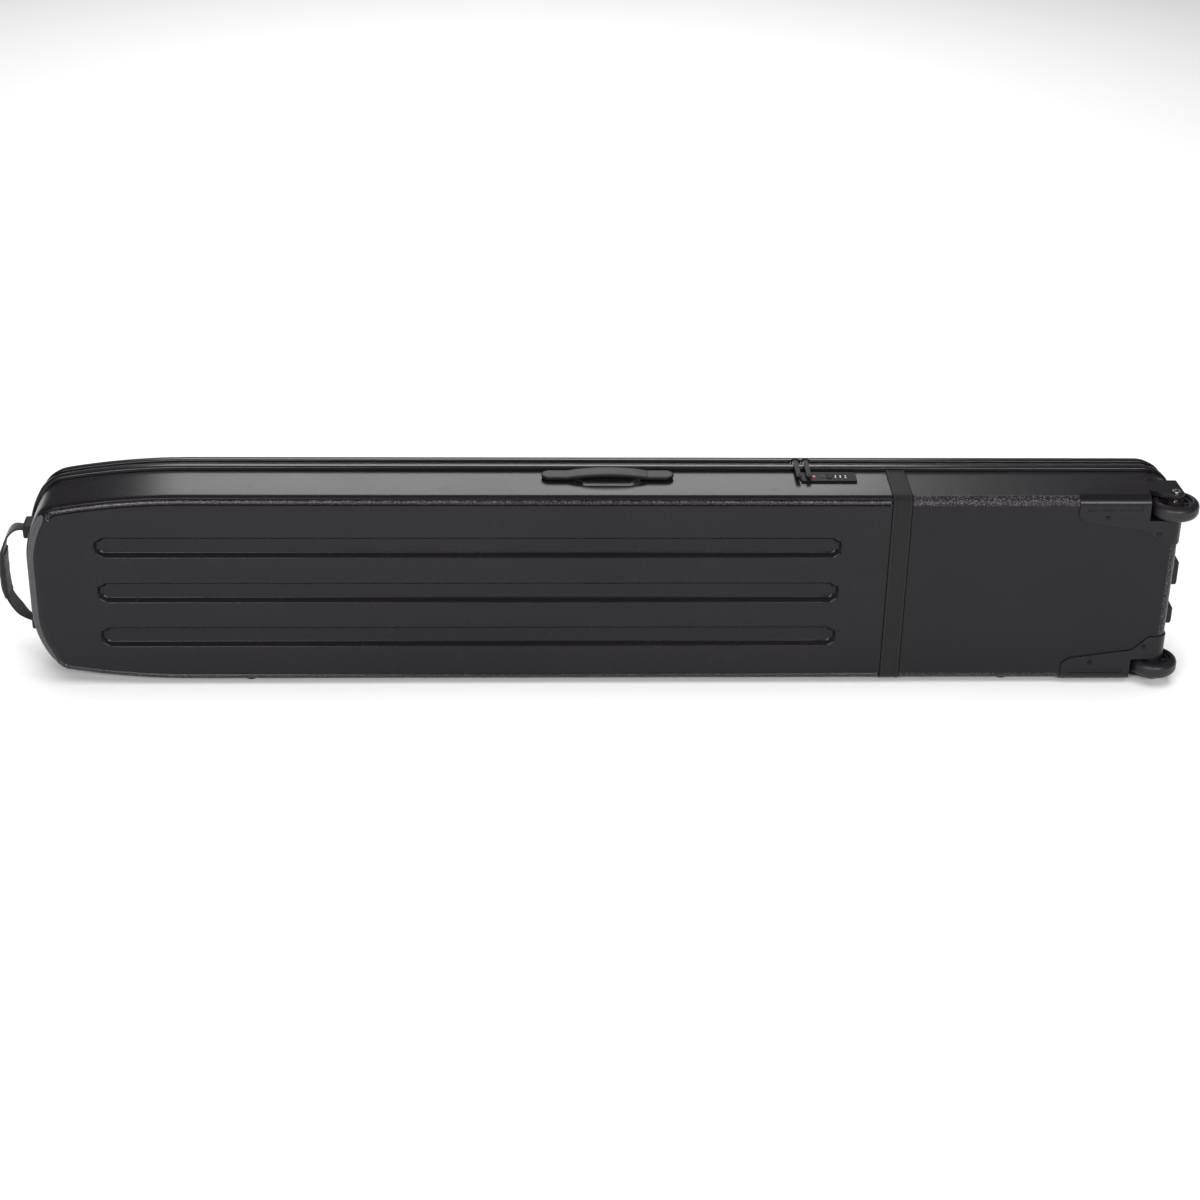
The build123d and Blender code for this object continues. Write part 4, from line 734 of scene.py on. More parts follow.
def dish_depth(points, on_top, grow=0.0):
    """Depth of the finger dish: a smooth wall of the distance inward from a slot in the top wall."""
    x, y, _ = np.moveaxis(points, -1, 0)
    along = np.maximum(np.abs(x - HANDLE_X) - DISH_STRAIGHT, 0)
    inside = DISH_RADIUS + grow - np.hypot(along, y - DISH_Y)
    return np.where(on_top, pressed(inside, 15.0, 10.0, 4.0), 0)


GROOVE_ROWS = [SEAM_Y, 24.2, 23.4, 21.8]


def rim_groove(points, wall):
    """Depth of the step in the wall beside the rim."""
    return np.where(wall, pressed(points[..., 1] - 23.3, 1.0, 1.7, 0.6), 0)


class CASE_OT_nose_shell(PieceOperator, bpy.types.Operator):
    """Glossy tub from the nose to the band, with its bead, channels and finger dish"""

    bl_idname = "case.nose_shell"
    bl_label = "Nose shell"

    def build(self, sizes):
        stations = spread([STRAIGHT_X, -80, -70.1, -56.1, -39, 68, 84.9, 98.9, 120, 308.8, 346, 361, 370.8,
                           424, 432, SPLIT_X], [26, 6, 7, 4, 2.1, 4, 7, 12, 26, 12, 1.7, 5, 14, 1.2, 5])
        wall_y = spread([*GROOVE_ROWS, 18.5, 10.8, 7.8, -6.2, -11.2, -25.5, -29, EDGE_Y],
                        [1, 1, 1, 2.0, 2.2, 3, 2.4, 2.6, 2.2, 2, 9])
        loop = Loop(stations, channel_rows(HALF - EDGE_RADIUS), EDGE_RADIUS, sizes.nose_radius / MM, tail=False)
        arcs = np.concatenate([np.linspace(0, 24, 5), np.linspace(28, 90, 24)])
        points, out, turn = loop.ring(wall_y, arcs, -1)
        wall = turn <= 0
        sink = rim_groove(points, wall) + dish_depth(points, wall & (points[..., 2] > TOP_Z - 1))
        bead_from, bead_to, bead_at, bead_half = -803.0, 426.0, 14.6, 3.2
        x = loop.points[:, :1]
        beyond = np.maximum(np.maximum(bead_from - x, x - bead_to), 0)
        outside = np.hypot(beyond, turn / loop.radius[:, None] * EDGE_RADIUS - bead_at) - bead_half
        near = ~wall & (np.abs(loop.normals[:, 1:]) > 0.45)
        lift = smooth(-outside / 1.5) * sizes.bead_height / MM - hump(outside - 1.3, 1.1) * sizes.groove_depth / MM
        points = points + out * (lift * near - sink)[..., None]
        keep = off_window(points, LOCK_X, LOCK_Y, LOCK_LONG, LOCK_WIDE)
        for side in (-1, 1):
            keep &= off_window(points, HANDLE_X + side * BUSH_OUT, HANDLE_Y, BUSH_HALF, BUSH_HALF)
        face = loop.face(-1)
        face[..., 1] += channel_depth(face[..., 0], face[..., 2])
        # grain marks the bead: the shader turns it into pebble bumps and paints glints on them.
        grain = near * smooth((0.6 - outside) / 1.2)
        new_piece("nose_shell", [patch(points, keep, grain=grain), patch(face)], "bead", "tub", "gloss_shell",
                  ("nose_tub",), thick=SHELL_THICK)


class CASE_OT_tail_shell(PieceOperator, bpy.types.Operator):
    """Tail tub with coarse pebbles along its rounded edge"""

    bl_idname = "case.tail_shell"
    bl_label = "Tail shell"

    def build(self, sizes):
        stations = spread([SPLIT_X, 700.0, POCKET_X, TAIL_X - TAIL_CORNER], [1.5, 4, 3])
        high = np.array([20, 50, 80, POCKET_Z, 125, 140.3])
        loop = Loop(stations, np.concatenate([-high[::-1], high]), EDGE_RADIUS, nose=False)
        wall_y = spread([*GROOVE_ROWS, 5, POCKET_Y, EDGE_Y], [1, 1, 2, 9, 15, 15])
        points, out, turn = loop.ring(wall_y, np.linspace(0, 90, 15), -1)
        share = turn / (EDGE_RADIUS * math.pi / 2)
        # mark: the pebbled band on the rounded edge; lifted into pebbles here, and given bumps and painted glints by
        # the shader through the grain attribute.
        mark = smooth(share / 0.12) * smooth((1 - share) / 0.06)
        run = loop.along[:, None]
        stones = value_noise(run / 2.6, turn / 2.4, 5) * 0.65 + value_noise(run / 1.5, turn / 1.5, 9) * 0.5
        lift = (stones - 0.6) * mark * sizes.pebble_height / MM - rim_groove(points, turn <= 0)
        points = points + out * (lift - hump(turn - 0.6) * 0.5)[..., None]
        face = loop.face(-1)
        new_piece("tail_shell", [patch(points, off_pocket(points), grain=mark), patch(face, off_pocket(face))],
                  "textured_shell", "tub", "textured_shell", ("tail_tub",), thick=SHELL_THICK)


class CASE_OT_lid(PieceOperator, bpy.types.Operator):
    """Thin lid with three long panels pressed into its face"""

    bl_idname = "case.lid"
    bl_label = "Lid"

    def build(self, sizes):
        stations = spread([STRAIGHT_X, 346, 361, 640, 700, TAIL_X - TAIL_CORNER], [30, 3, 40, 3, 30])
        loop = Loop(stations, channel_rows(HALF - LID_RADIUS), LID_RADIUS)
        points, _, _ = loop.ring(spread([LID_RIM_END, BACK_Y - LID_RADIUS], 2), np.linspace(0, 90, 15), 1)
        face = loop.face(1)
        face[..., 1] -= channel_depth(face[..., 0], face[..., 2]) / CHANNEL_DEPTH * sizes.lid_press / MM
        new_piece("lid_skin", [patch(points), patch(face)], "lid_shell", "lid", "lid_shell", ("lid_shell",),
                  thick=SHELL_THICK)


def swept_ring(loop, outline):
    """A closed section of (offset, depth) pairs carried round the whole outline."""
    outline = np.concatenate([outline, outline[:1]])
    uv = together(loop.along[:, None], run_along(outline)) * MM
    return loop.place(np.broadcast_to(outline[:, 0], uv.shape[:2]), outline[:, 1]), uv


def rounded(low_y, high_y, outer, radius, steps=6):
    """Section of a rim: square inside, both outer corners quarter circles of one radius."""
    turn = radius * rays(np.radians(np.linspace(0, 90, steps + 1)))
    first = [outer - radius, low_y + radius] + turn[::-1] * [1, -1]
    second = [outer - radius, high_y - radius] + turn
    return np.concatenate([[[-WALL, low_y]], first, second, [[-WALL, high_y]]])


class CASE_OT_rims(PieceOperator, bpy.types.Operator):
    """Raised rims of the tub and the lid"""

    bl_idname = "case.rims"
    bl_label = "Rims"

    def build(self, sizes):
        loop = Loop(spread([STRAIGHT_X, TAIL_X - TAIL_CORNER], 24.0), np.linspace(-HALF, HALF, 9), 0.0, fine=1.6)
        for body, section in (("tub", rounded(SEAM_Y, TUB_RIM_END, 6.0, 3.0)),
                              ("lid", rounded(LID_RIM_START, LID_RIM_END, 2.5, 2.0))):
            points, uv = swept_ring(loop, section)
            new_piece(body + "_rim_bead", [patch(points, uv=uv)], "rim", body, "rim", (body + "_rim",))


class CASE_OT_zip(PieceOperator, bpy.types.Operator):
    """Zip tapes and the two coils with their teeth"""

    bl_idname = "case.zip"
    bl_label = "Zip"

    def build(self, sizes):
        pitch = sizes.tooth_pitch / MM
        stops = [STRAIGHT_X, HINGE_START, HINGE_END, TAIL_X - TAIL_CORNER]
        angle = np.linspace(0, FULL_TURN, 9)
        for body, rim, sign in (("tub", TUB_RIM_END, -1), ("lid", LID_RIM_START, 1)):
            edge = ZIP_Y + sign * ZIP_GAP
            section = np.array([[TAPE_LEVEL, rim], [TAPE_LEVEL, edge], [TAPE_LEVEL - 1, edge],
                                [TAPE_LEVEL - 1, rim]])
            points, uv = swept_ring(Loop(spread(stops, 30), np.linspace(-HALF, HALF, 9), 0.0), section)
            new_piece(body + "_tape", [patch(points, off_bottom(points, HINGE_START, HINGE_END), uv)],
                      "tape", body, "tape", (body + "_zip_tape",), sharp=30)
            loop = Loop(spread(stops, pitch / 4), np.linspace(-HALF, HALF, 60), 0.0, fine=7.0)
            tooth = 0.5 + 0.5 * np.sin(FULL_TURN * loop.along / pitch + sign * math.pi / 2)[:, None]
            size = COIL / 2 * (0.72 + 0.28 * tooth)
            depth = edge + sign * COIL / 2 + size * np.cos(angle) - sign * (1 - tooth) * 0.1
            points = loop.place(TAPE_LEVEL + COIL / 2 + size * np.sin(angle), depth)
            uv = together(loop.along[:, None], angle) * MM
            new_piece(body + "_coil", [patch(points, off_bottom(points, COIL_START, COIL_END), uv)],
                      "coil", body, "coil", (body + "_zip_coil",), sharp=60)


class CASE_OT_hinge(PieceOperator, bpy.types.Operator):
    """Cloth hinge that bends between the tub and the lid"""

    bl_idname = "case.hinge"
    bl_label = "Cloth hinge"

    def build(self, sizes):
        bend = 2.5
        y = spread([TUB_RIM_END, ZIP_Y - bend, ZIP_Y + bend, LID_RIM_START], [1.6, 0.5, 1.6])
        x, y = np.meshgrid(spread([HINGE_START, HINGE_END], 20), y, indexing="ij")
        rib = 0.12 * np.cos((y - ZIP_Y) * FULL_TURN / 3.2)
        outer = together(x, y, BASE_Z + 1.12 + rib)
        inner = together(x, y, BASE_Z + 2.0)
        uv = together(x, y) * MM
        edges = [np.stack([outer[0], inner[0]]), np.stack([outer[-1], inner[-1]]),
                 np.stack([outer[:, 0], inner[:, 0]]), np.stack([outer[:, -1], inner[:, -1]])]
        grids = [patch(outer, uv=uv), patch(inner[::-1], uv=uv[::-1])] + [patch(e) for e in edges]
        piece = new_piece("hinge_cloth", grids, "hinge", None, "tape", ("tub_hinge_leaf", "lid_hinge_leaf"),
                          sharp=50)
        work = bmesh.new()
        work.from_mesh(piece.data)
        bmesh.ops.recalc_face_normals(work, faces=work.faces)
        work.to_mesh(piece.data)
        work.free()
        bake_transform(piece, "tub", "lid", start=(0, (ZIP_Y - 2.4) * MM, 0.0075), end=(0, (ZIP_Y + 2.4) * MM, 0.0075))


def band_path(step=3.0):
    """Path across the tub in Y and Z: top wall, rounded edge, face, rounded edge, bottom wall."""
    edge_z = TOP_Z - EDGE_RADIUS
    turn = [EDGE_Y, edge_z] + EDGE_RADIUS * rays(np.radians(np.linspace(0, 90, 13)))[1:, ::-1] * [-1, 1]
    half = np.concatenate([together(spread([EDGE_Y, SEAM_Y], step)[::-1], TOP_Z), turn,
                           together(FRONT_Y, spread([MIDDLE_Z, edge_z], step)[::-1][1:])])
    return np.concatenate([half, (half[:-1] * [1, -1] + [0, 2 * MIDDLE_Z])[::-1]])


class CASE_OT_band(PieceOperator, bpy.types.Operator):
    """Webbing band over the joint of the two tubs, with its stitched edges and a black strip of painted shadow along
    each side
    """

    bl_idname = "case.band"
    bl_label = "Joint band"

    def build(self, sizes):
        path = together(SPLIT_X, *band_path().T)
        across = np.tile([1.0, 0, 0], (len(path), 1))
        _, up = side_of(path, across[0])
        up = up * np.sign(np.sum(up * (path - [SPLIT_X, 0, MIDDLE_Z]), 1, keepdims=True))
        u = np.array([9.8, 10.4, 11, 13.2, 13.8, BAND_HALF])
        v = np.array([0.75, 1.1, 1.25, 1.25, 0.9, 0.1])
        u = np.concatenate([-u[::-1], [-5, 0, 5], u])
        v = np.concatenate([v[::-1], [0.8, 0.82, 0.8], v])
        section = np.concatenate([together(u, v), together(u[::-1], -0.1)])[None]
        new_piece("joint_band", tube(path, across, up, section), "band", "tub", "webbing", ("seam_band",),
                  sharp=50)
        run = run_along(path)
        marks = np.arange(4, run[-1] - 4, sizes.stitch_pitch / MM)
        spots, ups = resample(run, marks, path), resample(run, marks, up)
        ups /= np.linalg.norm(ups, axis=1, keepdims=True)
        forward = np.cross(ups, across[0])
        for name, side in (("left", -1), ("right", 1)):
            stitches("band_stitches_" + name, spots + ups * 1.2 + [side * 12.1, 0, 0], forward, ups,
                     "thread", "tub", "webbing")
            # Black strip along each side of the band: painted shadow, standing for the shadow in the step between the
            # shell and the band.
            bead = together(side * np.array([14.0, 14.3, 14.9, 15.2, 15.2, 14.0]),
                            [0.2, 0.45, 0.35, 0.05, -0.1, -0.1])[None]
            new_piece("band_seal_" + name, tube(path, across, up, bead), "seal", "tub", "webbing", sharp=50)


class CASE_OT_linings(PieceOperator, bpy.types.Operator):
    """Cloth linings of the tub and the lid, slightly rippled between their seams"""

    bl_idname = "case.linings"
    bl_label = "Linings"

    def build(self, sizes):
        level = -WALL - 0.1
        rows = channel_rows(HALF - EDGE_RADIUS)
        corner_rows = [-140.3, -125, -POCKET_Z, POCKET_Z, 125, 140.3]
        rows = np.array(sorted([*rows[np.abs(rows) < 105], *corner_rows]))
        stations = spread([STRAIGHT_X, -40, 70, 308.8, 346, 361, 370.8, 444, POCKET_X, TAIL_X - TAIL_CORNER],
                          [26, 4, 26, 12, 3, 5, 26, 26, 4])
        loop = Loop(stations, rows, EDGE_RADIUS)
        wall_y = spread([SEAM_Y, 10.8, -11.2, -30, EDGE_Y], [5, 4, 5, 9])
        points, out, turn = loop.ring(wall_y, np.linspace(0, 90, 7), -1, level)
        sink = dish_depth(points, (turn <= 0) & (points[..., 2] > TOP_Z - 5), CLOTH_GROW)
        ripple = value_noise(loop.along[:, None] / 55, points[..., 1] / 30, 3) * 0.5
        points = points - out * (sink + ripple)[..., None]
        keep = off_window(points, LOCK_X, LOCK_Y, LOCK_LONG, LOCK_WIDE) & off_pocket(points)
        face = loop.face(-1, level)
        face[..., 1] += channel_depth(face[..., 0], face[..., 2], CLOTH_GROW)
        face[..., 1] += value_noise(face[..., 0] / 60, face[..., 2] / 45, 4) * 0.5
        self.cloth("tub", loop, points, face, keep, off_pocket(face))
        loop = Loop(spread([STRAIGHT_X, 346, 361, TAIL_X - TAIL_CORNER], [26, 3, 26]),
                    channel_rows(HALF - LID_RADIUS), LID_RADIUS)
        wall_y = spread([LID_RIM_START, BACK_Y - LID_RADIUS], 4)
        points, out, turn = loop.ring(wall_y, np.linspace(0, 90, 9), 1, level)
        points = points - out * (value_noise(loop.along[:, None] / 55, turn / 9, 6) * 0.5)[..., None]
        face = loop.face(1, level)
        face[..., 1] -= channel_depth(face[..., 0], face[..., 2], CLOTH_GROW) / CHANNEL_DEPTH * 2.2
        face[..., 1] -= value_noise(face[..., 0] / 60, face[..., 2] / 45, 8) * 0.5
        self.cloth("lid", loop, points, face)

    def cloth(self, body, loop, points, face, keep=None, keep_face=None):
        """One lining: its ring and its face, with the weave's UV in metres."""
        uv = together(loop.along[:, None], points[..., 1]) * MM
        grids = [patch(points, keep, uv), patch(face, keep_face, face[..., [0, 2]] * MM)]
        new_piece(body + "_cloth", grids, "lining", body, "lining", (body + "_lining",), thick=CLOTH_THICK)


class CASE_OT_housings(PieceOperator, bpy.types.Operator):
    """Wheel housings with their screws, bolts, nuts and spacers"""

    bl_idname = "case.housings"
    bl_label = "Wheel housings"
    copies = (("top_wheel_housing", "top_housing", "housing", "tub", "housing", 1.0),
              ("bottom_wheel_housing", "bottom_housing", "housing", "tub", "housing", 1.0),
              ("housing_screws", "screws", "dark_steel", "tub", "screw", 0.25),
              ("axle_bolts", "bolts", "steel", "tub", "steel", 0.3))

    def build(self, sizes):
        for node in ("axle_nuts", "axle_spacers"):
            paint(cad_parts[node], "steel")


class CASE_OT_wheels(PieceOperator, bpy.types.Operator):
    """Wheels: rubber tyre, spoked hub and ball bearings"""

    bl_idname = "case.wheels"
    bl_label = "Wheels"
    copies = (("top_hub", "top_spokes", "hub", "top_wheel", "hub", 0.5),
              ("top_bearings", "top_races", "steel", "top_wheel", "steel", 0.3),
              ("bottom_hub", "bottom_spokes", "hub", "bottom_wheel", "hub", 0.5),
              ("bottom_bearings", "bottom_races", "steel", "bottom_wheel", "steel", 0.3))

    def build(self, sizes):
        rise, corner = 12.0, 9.0
        shoulder = [WHEEL_RADIUS - corner, rise - corner] + corner * rays(np.radians(np.linspace(0, 90, 10)))
        crown = [[WHEEL_RADIUS - 0.25, 0.2], [WHEEL_RADIUS, 0.35], [WHEEL_RADIUS, 0.6]]
        wall = [[26.6, rise], [25.9, rise - 0.15], [25.3, rise - 0.5], [25.0, rise - 1.2]]
        half = np.concatenate([crown, shoulder, wall])
        profile = np.concatenate([half[::-1], half * [1, -1], half[-1:], half[-1:]])
        for side, level in (("top", TOP_Z - WHEEL_INSET), ("bottom", BASE_Z + WHEEL_INSET)):
            new_piece(side + "_rubber", [lathe(profile, (WHEEL_X, WHEEL_Y, level))], "tyre", side + "_wheel",
                      "tyre", (side + "_tyre",), sharp=50)


class CASE_OT_feet(PieceOperator, bpy.types.Operator):
    """Rubber feet"""

    bl_idname = "case.feet"
    bl_label = "Feet"
    copies = (("tail_feet", "tail_pads", "foot", "tub", "foot", 0.8),
              ("side_feet", "side_pads", "foot", "tub", "foot", 0.5))


class CASE_OT_handle(PieceOperator, bpy.types.Operator):
    """Arched carry handle with its guide posts and bushes"""

    bl_idname = "case.handle"
    bl_label = "Carry handle"
    copies = (("handle_posts", "posts", "chrome", "handle", "chrome", 0.3),
              ("handle_bushes", "bushes", "lock", "tub", "lock", 0.3))

    def build(self, sizes):
        half, arch, half_wide, half_thick, rise = 97.85, 59.85, 14.0, 2.5, 4.5
        x = -half * np.cos(np.linspace(0, math.pi, 121))
        size = np.abs(x)
        end = np.clip((size - half + half_wide) / half_wide, 0, 1)
        waist = 0.35 * smooth((size - 40) / 25) * (size < half - half_wide)
        width = half_wide * np.sqrt(np.clip(1 - end ** 2, 0, 1)) - waist
        thick = half_thick * np.clip(1 - end ** 6, 0, 1) ** 0.4
        crest = np.where(size < arch, 5.0 * np.clip(1 - (x / arch) ** 2, 0, None), 0)
        crest = np.convolve(np.pad(crest, 2, mode="edge"), np.ones(5) / 5, "valid")
        seam = 0.5 * (smooth((size - 58) / 1.5) - smooth((size - 61) / 1.5))
        t = np.linspace(0, FULL_TURN, 41)
        u, v = squared(np.cos(t), 0.4), squared(np.sin(t), 0.4)
        crown = 0.35 * (1 - u ** 2) * (v > 0) - 0.35
        width, thick, crest, seam = (part[:, None] for part in (width, thick, crest, seam))
        z = TOP_Z + rise + crest + (thick - seam) * v + crown * (thick / half_thick)
        points = together(HANDLE_X + x[:, None], HANDLE_Y + width * u, z)
        uv = together(x[:, None], t * 10) * MM
        new_piece("grip", [patch(points, uv=uv)], "grip", "handle", "grip", ("carry_handle",), sharp=60)


def numeral(text, size):
    """The outline of one numeral as a flat mesh, centred, in millimetres."""
    curve = bpy.data.curves.new("numeral", "FONT")
    curve.body, curve.size, curve.align_x, curve.align_y = text, 1.0, "CENTER", "CENTER"
    curve.resolution_u = 3
    holder = bpy.data.objects.new("numeral", curve)
    bpy.context.scene.collection.objects.link(holder)
    mesh = bpy.data.meshes.new_from_object(holder.evaluated_get(bpy.context.evaluated_depsgraph_get()))
    co = np.zeros(len(mesh.vertices) * 3)
    mesh.vertices.foreach_get("co", co)
    co = co.reshape(-1, 3)[:, :2]
    faces = [list(p.vertices) for p in mesh.polygons]
    co = (co - (co.min(0) + co.max(0)) / 2) * size / (co[:, 1].max() - co[:, 1].min())
    bpy.data.objects.remove(holder)
    bpy.data.curves.remove(curve)
    bpy.data.meshes.remove(mesh)
    return co, faces


class CASE_OT_lock(PieceOperator, bpy.types.Operator):
    """Combination lock with numbered dials, key cylinder, indicator and button"""

    bl_idname = "case.lock"
    bl_label = "Lock"
    copies = (("lock_body", "lock_case", "lock", "tub", "lock", 0.25),
              ("lock_indicator", "indicator_dot", "indicator", "tub", "indicator", 0.1),
              ("key_cylinder", "key_barrel", "dark_steel", "cylinder", "chrome", 0.15),
              ("release_button", "button_cap", "lock", "button", "lock", 0.15),
              ("number_dial_1", "dial_wheel_1", "dial", "dial_1", "dial", 0.12),
              ("number_dial_2", "dial_wheel_2", "dial", "dial_2", "dial", 0.12),
              ("number_dial_3", "dial_wheel_3", "dial", "dial_3", "dial", 0.12))

    def build(self, sizes):
        paint(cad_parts["dial_shaft"], "steel")
        for index, x in enumerate(DIALS_X, start=1):
            points, faces, start = [], [], 0
            for digit in range(10):
                co, polys = numeral(str((digit + 3 * index) % 10), 3.9)
                angle = digit * FULL_TURN / 10 + co[:, 1] / DIAL_RADIUS
                points.append(together(x + co[:, 0] * 1.15, LOCK_Y + DIAL_RADIUS * np.sin(angle),
                                       DIAL_Z + DIAL_RADIUS * np.cos(angle)))
                faces += [[i + start for i in poly] for poly in polys]
                start += len(co)
            mesh = bpy.data.meshes.new("dial_numbers_%d" % index)
            mesh.from_pydata((np.concatenate(points) * MM).tolist(), [], faces)
            finish_piece(bpy.data.objects.new("dial_numbers_%d" % index, mesh), "numeral", "dial_%d" % index,
                         "dial", thick=-0.06)


class CASE_OT_sliders(PieceOperator, bpy.types.Operator):
    """Zip sliders and their pulls"""

    bl_idname = "case.sliders"
    bl_label = "Zip sliders"
    copies = (("left_slider", "left_runner", "zinc", "slider_left", "zinc", 0.35),
              ("left_pull", "left_tab", "pull", "pull_left", "pull", 0.4),
              ("right_slider", "right_runner", "zinc", "slider_right", "zinc", 0.35),
              ("right_pull", "right_tab", "pull", "pull_right", "pull", 0.4))


class CASE_OT_grab_loop(PieceOperator, bpy.types.Operator):
    """Webbing grab loop on the nose with its padded sleeve"""

    bl_idname = "case.grab_loop"
    bl_label = "Grab loop"
    copies = (("loop_anchors", "loop_plates", "buckle", "tub", "buckle", 0.6),)

    def build(self, sizes):
        route = spline(LOOP_ROUTE, 140)
        path = together(route[:, 0], LOOP_Y, route[:, 1])
        sideways = np.array([0, 1.0, 0])
        across = np.tile(sideways, (len(path), 1))
        _, up = side_of(path, sideways)
        end = np.minimum(*(np.linalg.norm(path - path[i], axis=1) for i in (0, -1)))
        width = LOOP_END_WIDE + (LOOP_WIDE - LOOP_END_WIDE) * smooth((end - 4) / 26)
        section = box_section(width, np.full(len(path), LOOP_THICK), 1.0)
        new_piece("loop_webbing", tube(path, across, up, section), "webbing", "grab_loop", "webbing",
                  ("nose_loop",), sharp=50)
        self.pad(path[(path[:, 2] > PAD_LOW) & (path[:, 2] < PAD_HIGH)], sideways)

    def pad(self, path, sideways):
        """The sleeve: half width and half thickness times a squared circle, with a puff, two seams and a lap."""
        run = run_along(path)
        share = np.linspace(0, 1, 70)
        line = resample(run, share * run[-1], path)
        tangent, up = side_of(line, sideways)
        t = np.linspace(0, FULL_TURN, 49)
        c, u, v = np.cos(t), squared(np.cos(t), 0.45), squared(np.sin(t), 0.75)
        bow = np.sin(math.pi * share)
        puff = 0.80 + 0.20 * bow ** 0.6 + 0.05 * np.sin(share * 19) * bow
        seam = 1 - 0.10 * hump(share - 0.07, 0.02) - 0.10 * hump(share - 0.93, 0.02)
        lap = 1 + 0.06 * 0.35 * smooth((c + 0.15) / 0.1)
        half_wide = 19.0 * (0.97 + 0.03 * puff)[:, None] * u
        half_thick = (5.6 * puff * seam)[:, None] * v * lap
        notch = 7.0 * hump(c + 0.1, 0.22) * smooth((share[:, None] - 0.8) / 0.2)
        points = line[:, None, :] + sideways * half_wide[..., None] + up[:, None, :] * half_thick[..., None] \
            - tangent[:, None, :] * notch[..., None]
        grids = [patch(points, uv=together(share[:, None] * run[-1], t * 14) * MM)]
        for i in (0, -1):
            inner = line[i] + (points[i] - line[i]) * 0.35
            grids += [patch(np.stack([points[i], inner])),
                      patch(np.stack([inner, np.broadcast_to(line[i], inner.shape)]))]
        piece = new_piece("loop_pad", grids, "sleeve", "grab_loop", "sleeve", ("loop_sleeve",), sharp=60)


class CASE_OT_board_straps(PieceOperator, bpy.types.Operator):
    """Board straps with buckles and slide bars inside the tub"""

    bl_idname = "case.board_straps"
    bl_label = "Board straps"
    copies = (("strap_anchors", "strap_plates", "buckle", "tub", "buckle", 0.5),
              ("buckle_sockets", "buckle_shells", "buckle", "tub", "buckle", 0.6),
              ("buckle_clips", "buckle_prongs", "buckle", "tub", "buckle", 0.5),
              ("nose_slide_bar", "nose_bar", "buckle", "slide_bar_nose", "buckle", 0.5),
              ("tail_slide_bar", "tail_bar", "buckle", "slide_bar_tail", "buckle", 0.5))

    def build(self, sizes):
        count = 40
        across, up = np.tile([1.0, 0, 0], (count, 1)), np.tile([0, 1.0, 0], (count, 1))
        section = box_section(STRAP_WIDE, STRAP_THICK, 0.6)
        grids = []
        for x in STRAPS_X:
            for ends in ((BASE_Z + STRAP_INSET, BUCKLE_LOW), (BUCKLE_HIGH, TOP_Z - STRAP_INSET)):
                grids += tube(together(x, STRAP_Y, np.linspace(*ends, count)), across, up, section)
        new_piece("board_webbing", grids, "webbing", "tub", "webbing", ("strap_webbing",), sharp=50)


def area_light(name, place, target, size, power):
    """A soft rectangular light that looks at a point."""
    data = bpy.data.lights.new(name, "AREA")
    data.shape, data.size, data.size_y, data.energy = "RECTANGLE", size[0], size[1], power
    lamp = bpy.data.objects.new(name, data)
    bpy.context.scene.collection.objects.link(lamp)
    lamp.location = place
    lamp.rotation_euler = (Vector(target) - Vector(place)).to_track_quat("-Z", "Y").to_euler()
    lamp.visible_camera = False
    return lamp


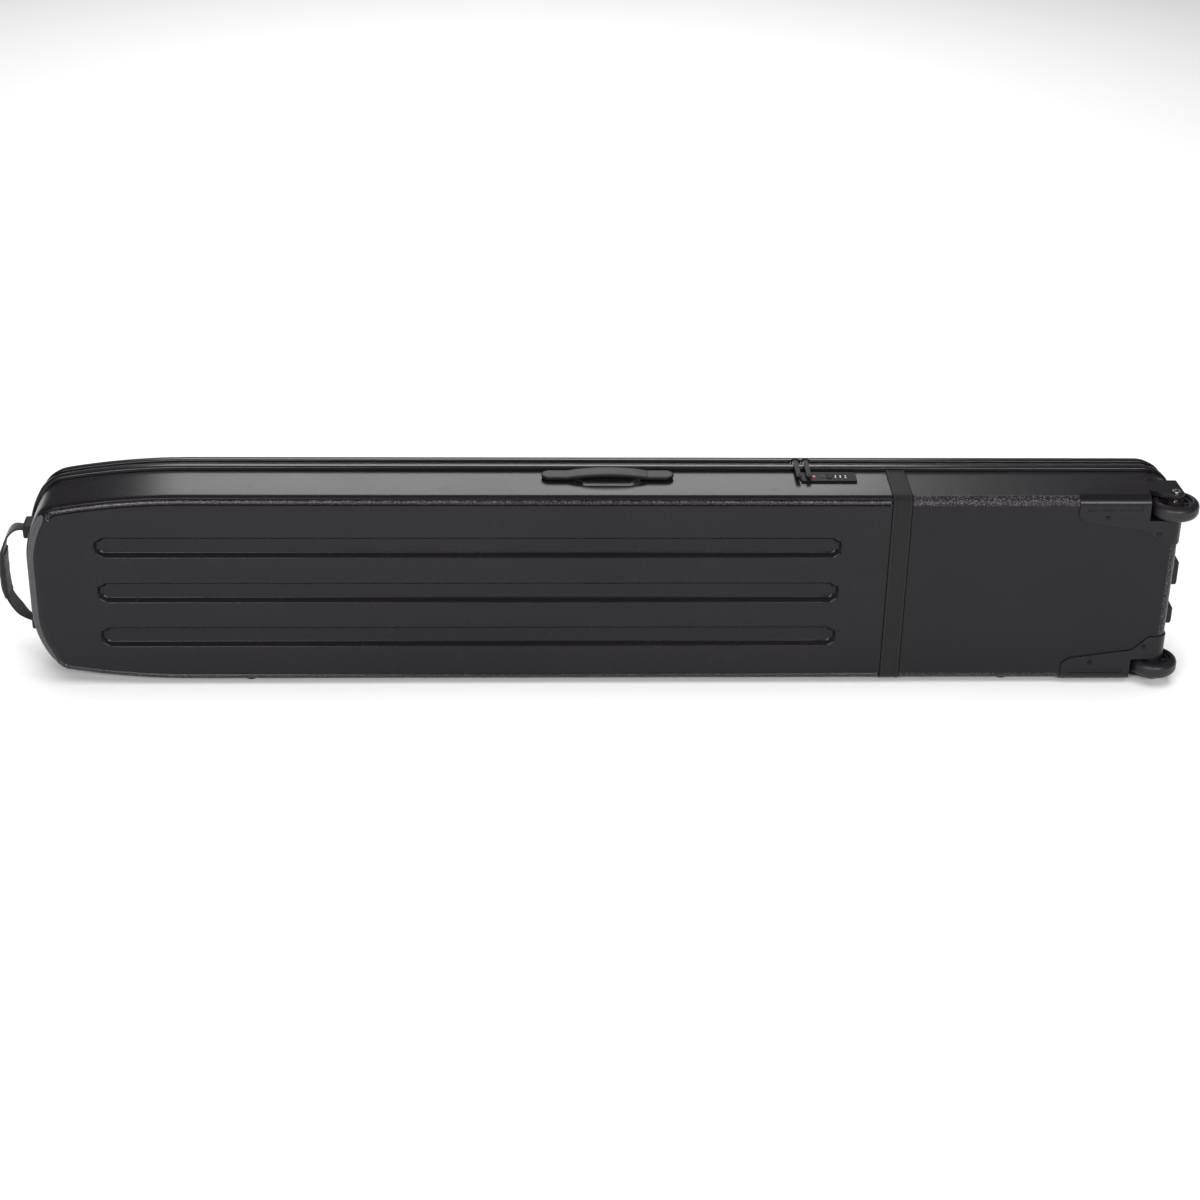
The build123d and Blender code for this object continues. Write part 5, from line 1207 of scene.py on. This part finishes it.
class CASE_OT_stage(bpy.types.Operator):
    """Pale floor, soft lights and the camera"""

    bl_idname = "case.stage"
    bl_label = "Studio"
    bl_options = {"REGISTER", "UNDO"}

    def execute(self, context):
        scene = context.scene
        scene.view_settings.view_transform = "Standard"
        self.lay_floor(scene)
        scene.world = bpy.data.worlds.new("studio")
        scene.world.use_nodes = True
        sky = scene.world.node_tree.nodes["Background"]
        sky.inputs["Color"].default_value = (1.0, 1.0, 1.0, 1.0)
        sky.inputs["Strength"].default_value = 0.12
        area_light("back_panel", (-0.1, 3.8, 2.55), (0.0, 0.0, 0.3), (2.6, 1.8), 58)
        area_light("front_left_panel", (-1.75, -4.0, 2.35), (-0.7, 0.0, 0.3), (1.9, 0.9), 130)
        area_light("front_right_panel", (1.75, -4.0, 2.35), (0.7, 0.0, 0.3), (1.5, 0.9), 105)
        fill = area_light("overhead_fill", (0.0, -0.3, 4.5), (0.0, -0.3, 0.0), (6.0, 6.0), 320)
        fill.visible_glossy = False
        self.set_camera(scene)
        return {"FINISHED"}

    def lay_floor(self, scene):
        """A large pale plane with a slight cloudiness."""
        edge = 14.0
        mesh = bpy.data.meshes.new("floor")
        mesh.from_pydata([(-edge, -edge, 0), (edge, -edge, 0), (edge, edge, 0), (-edge, edge, 0)], [],
                         [(0, 1, 2, 3)])
        floor = bpy.data.objects.new("floor", mesh)
        scene.collection.objects.link(floor)
        pale = scene.case_colours.floor
        f = Finish("pale_floor", 0.9, Specular_IOR_Level=0.1)
        cloud = f.noise(f.place(), 0.5, 1.0) * 0.15
        f.drive("Base Color", f.colour(cloud, tinted(pale), tinted(pale, 0.97)))
        mesh.materials.append(f.material)

    def set_camera(self, scene):
        """The camera, from its right, up and back directions and its place."""
        data = bpy.data.cameras.new("camera")
        camera = bpy.data.objects.new("camera", data)
        scene.collection.objects.link(camera)
        data.lens, data.sensor_width = 74.18, 36.0
        data.clip_start, data.clip_end = 0.05, 60.0
        right = (0.99917763, -0.0360341, 0.0185904)
        up = (0.00088007, 0.47765521, 0.87854694)
        back = (-0.04053745, -0.87780809, 0.47729411)
        place = (-0.14487, -3.29161, 1.89726)
        camera.matrix_world = Matrix([*zip(right, up, back, place), (0, 0, 0, 1)])
        scene.camera = camera


PIECES = (CASE_OT_nose_shell, CASE_OT_tail_shell, CASE_OT_lid, CASE_OT_rims, CASE_OT_zip, CASE_OT_hinge,
          CASE_OT_band, CASE_OT_linings, CASE_OT_housings, CASE_OT_wheels, CASE_OT_feet, CASE_OT_handle,
          CASE_OT_lock, CASE_OT_sliders, CASE_OT_grab_loop, CASE_OT_board_straps, CASE_OT_stage)


class CASE_PT_panel(bpy.types.Panel):
    """Sidebar panel with the case's sizes, colours and pieces"""

    bl_idname = "CASE_PT_panel"
    bl_label = "Travel case"
    bl_space_type = "VIEW_3D"
    bl_region_type = "UI"
    bl_category = "Travel case"

    def draw(self, context):
        for group in (context.scene.case_sizes, context.scene.case_colours):
            column = self.layout.column()
            for key in group.__annotations__:
                column.prop(group, key)
        for piece in PIECES:
            self.layout.operator(piece.bl_idname)


CLASSES = (CaseSizes, CaseColours) + PIECES + (CASE_PT_panel,)


def register():
    """Register the classes and the two groups of settings."""
    for cls in CLASSES:
        bpy.utils.register_class(cls)
    bpy.types.Scene.case_sizes = bpy.props.PointerProperty(type=CaseSizes)
    bpy.types.Scene.case_colours = bpy.props.PointerProperty(type=CaseColours)


def unregister():
    """Take the settings and the classes away again."""
    del bpy.types.Scene.case_colours
    del bpy.types.Scene.case_sizes
    for cls in reversed(CLASSES):
        bpy.utils.unregister_class(cls)


def main():
    """Build every piece and the stage."""
    register()
    make_finishes(bpy.context.scene.case_colours)
    for piece in PIECES:
        group, name = piece.bl_idname.split(".")
        getattr(getattr(bpy.ops, group), name)()


if __name__ == "__main__":
    main()
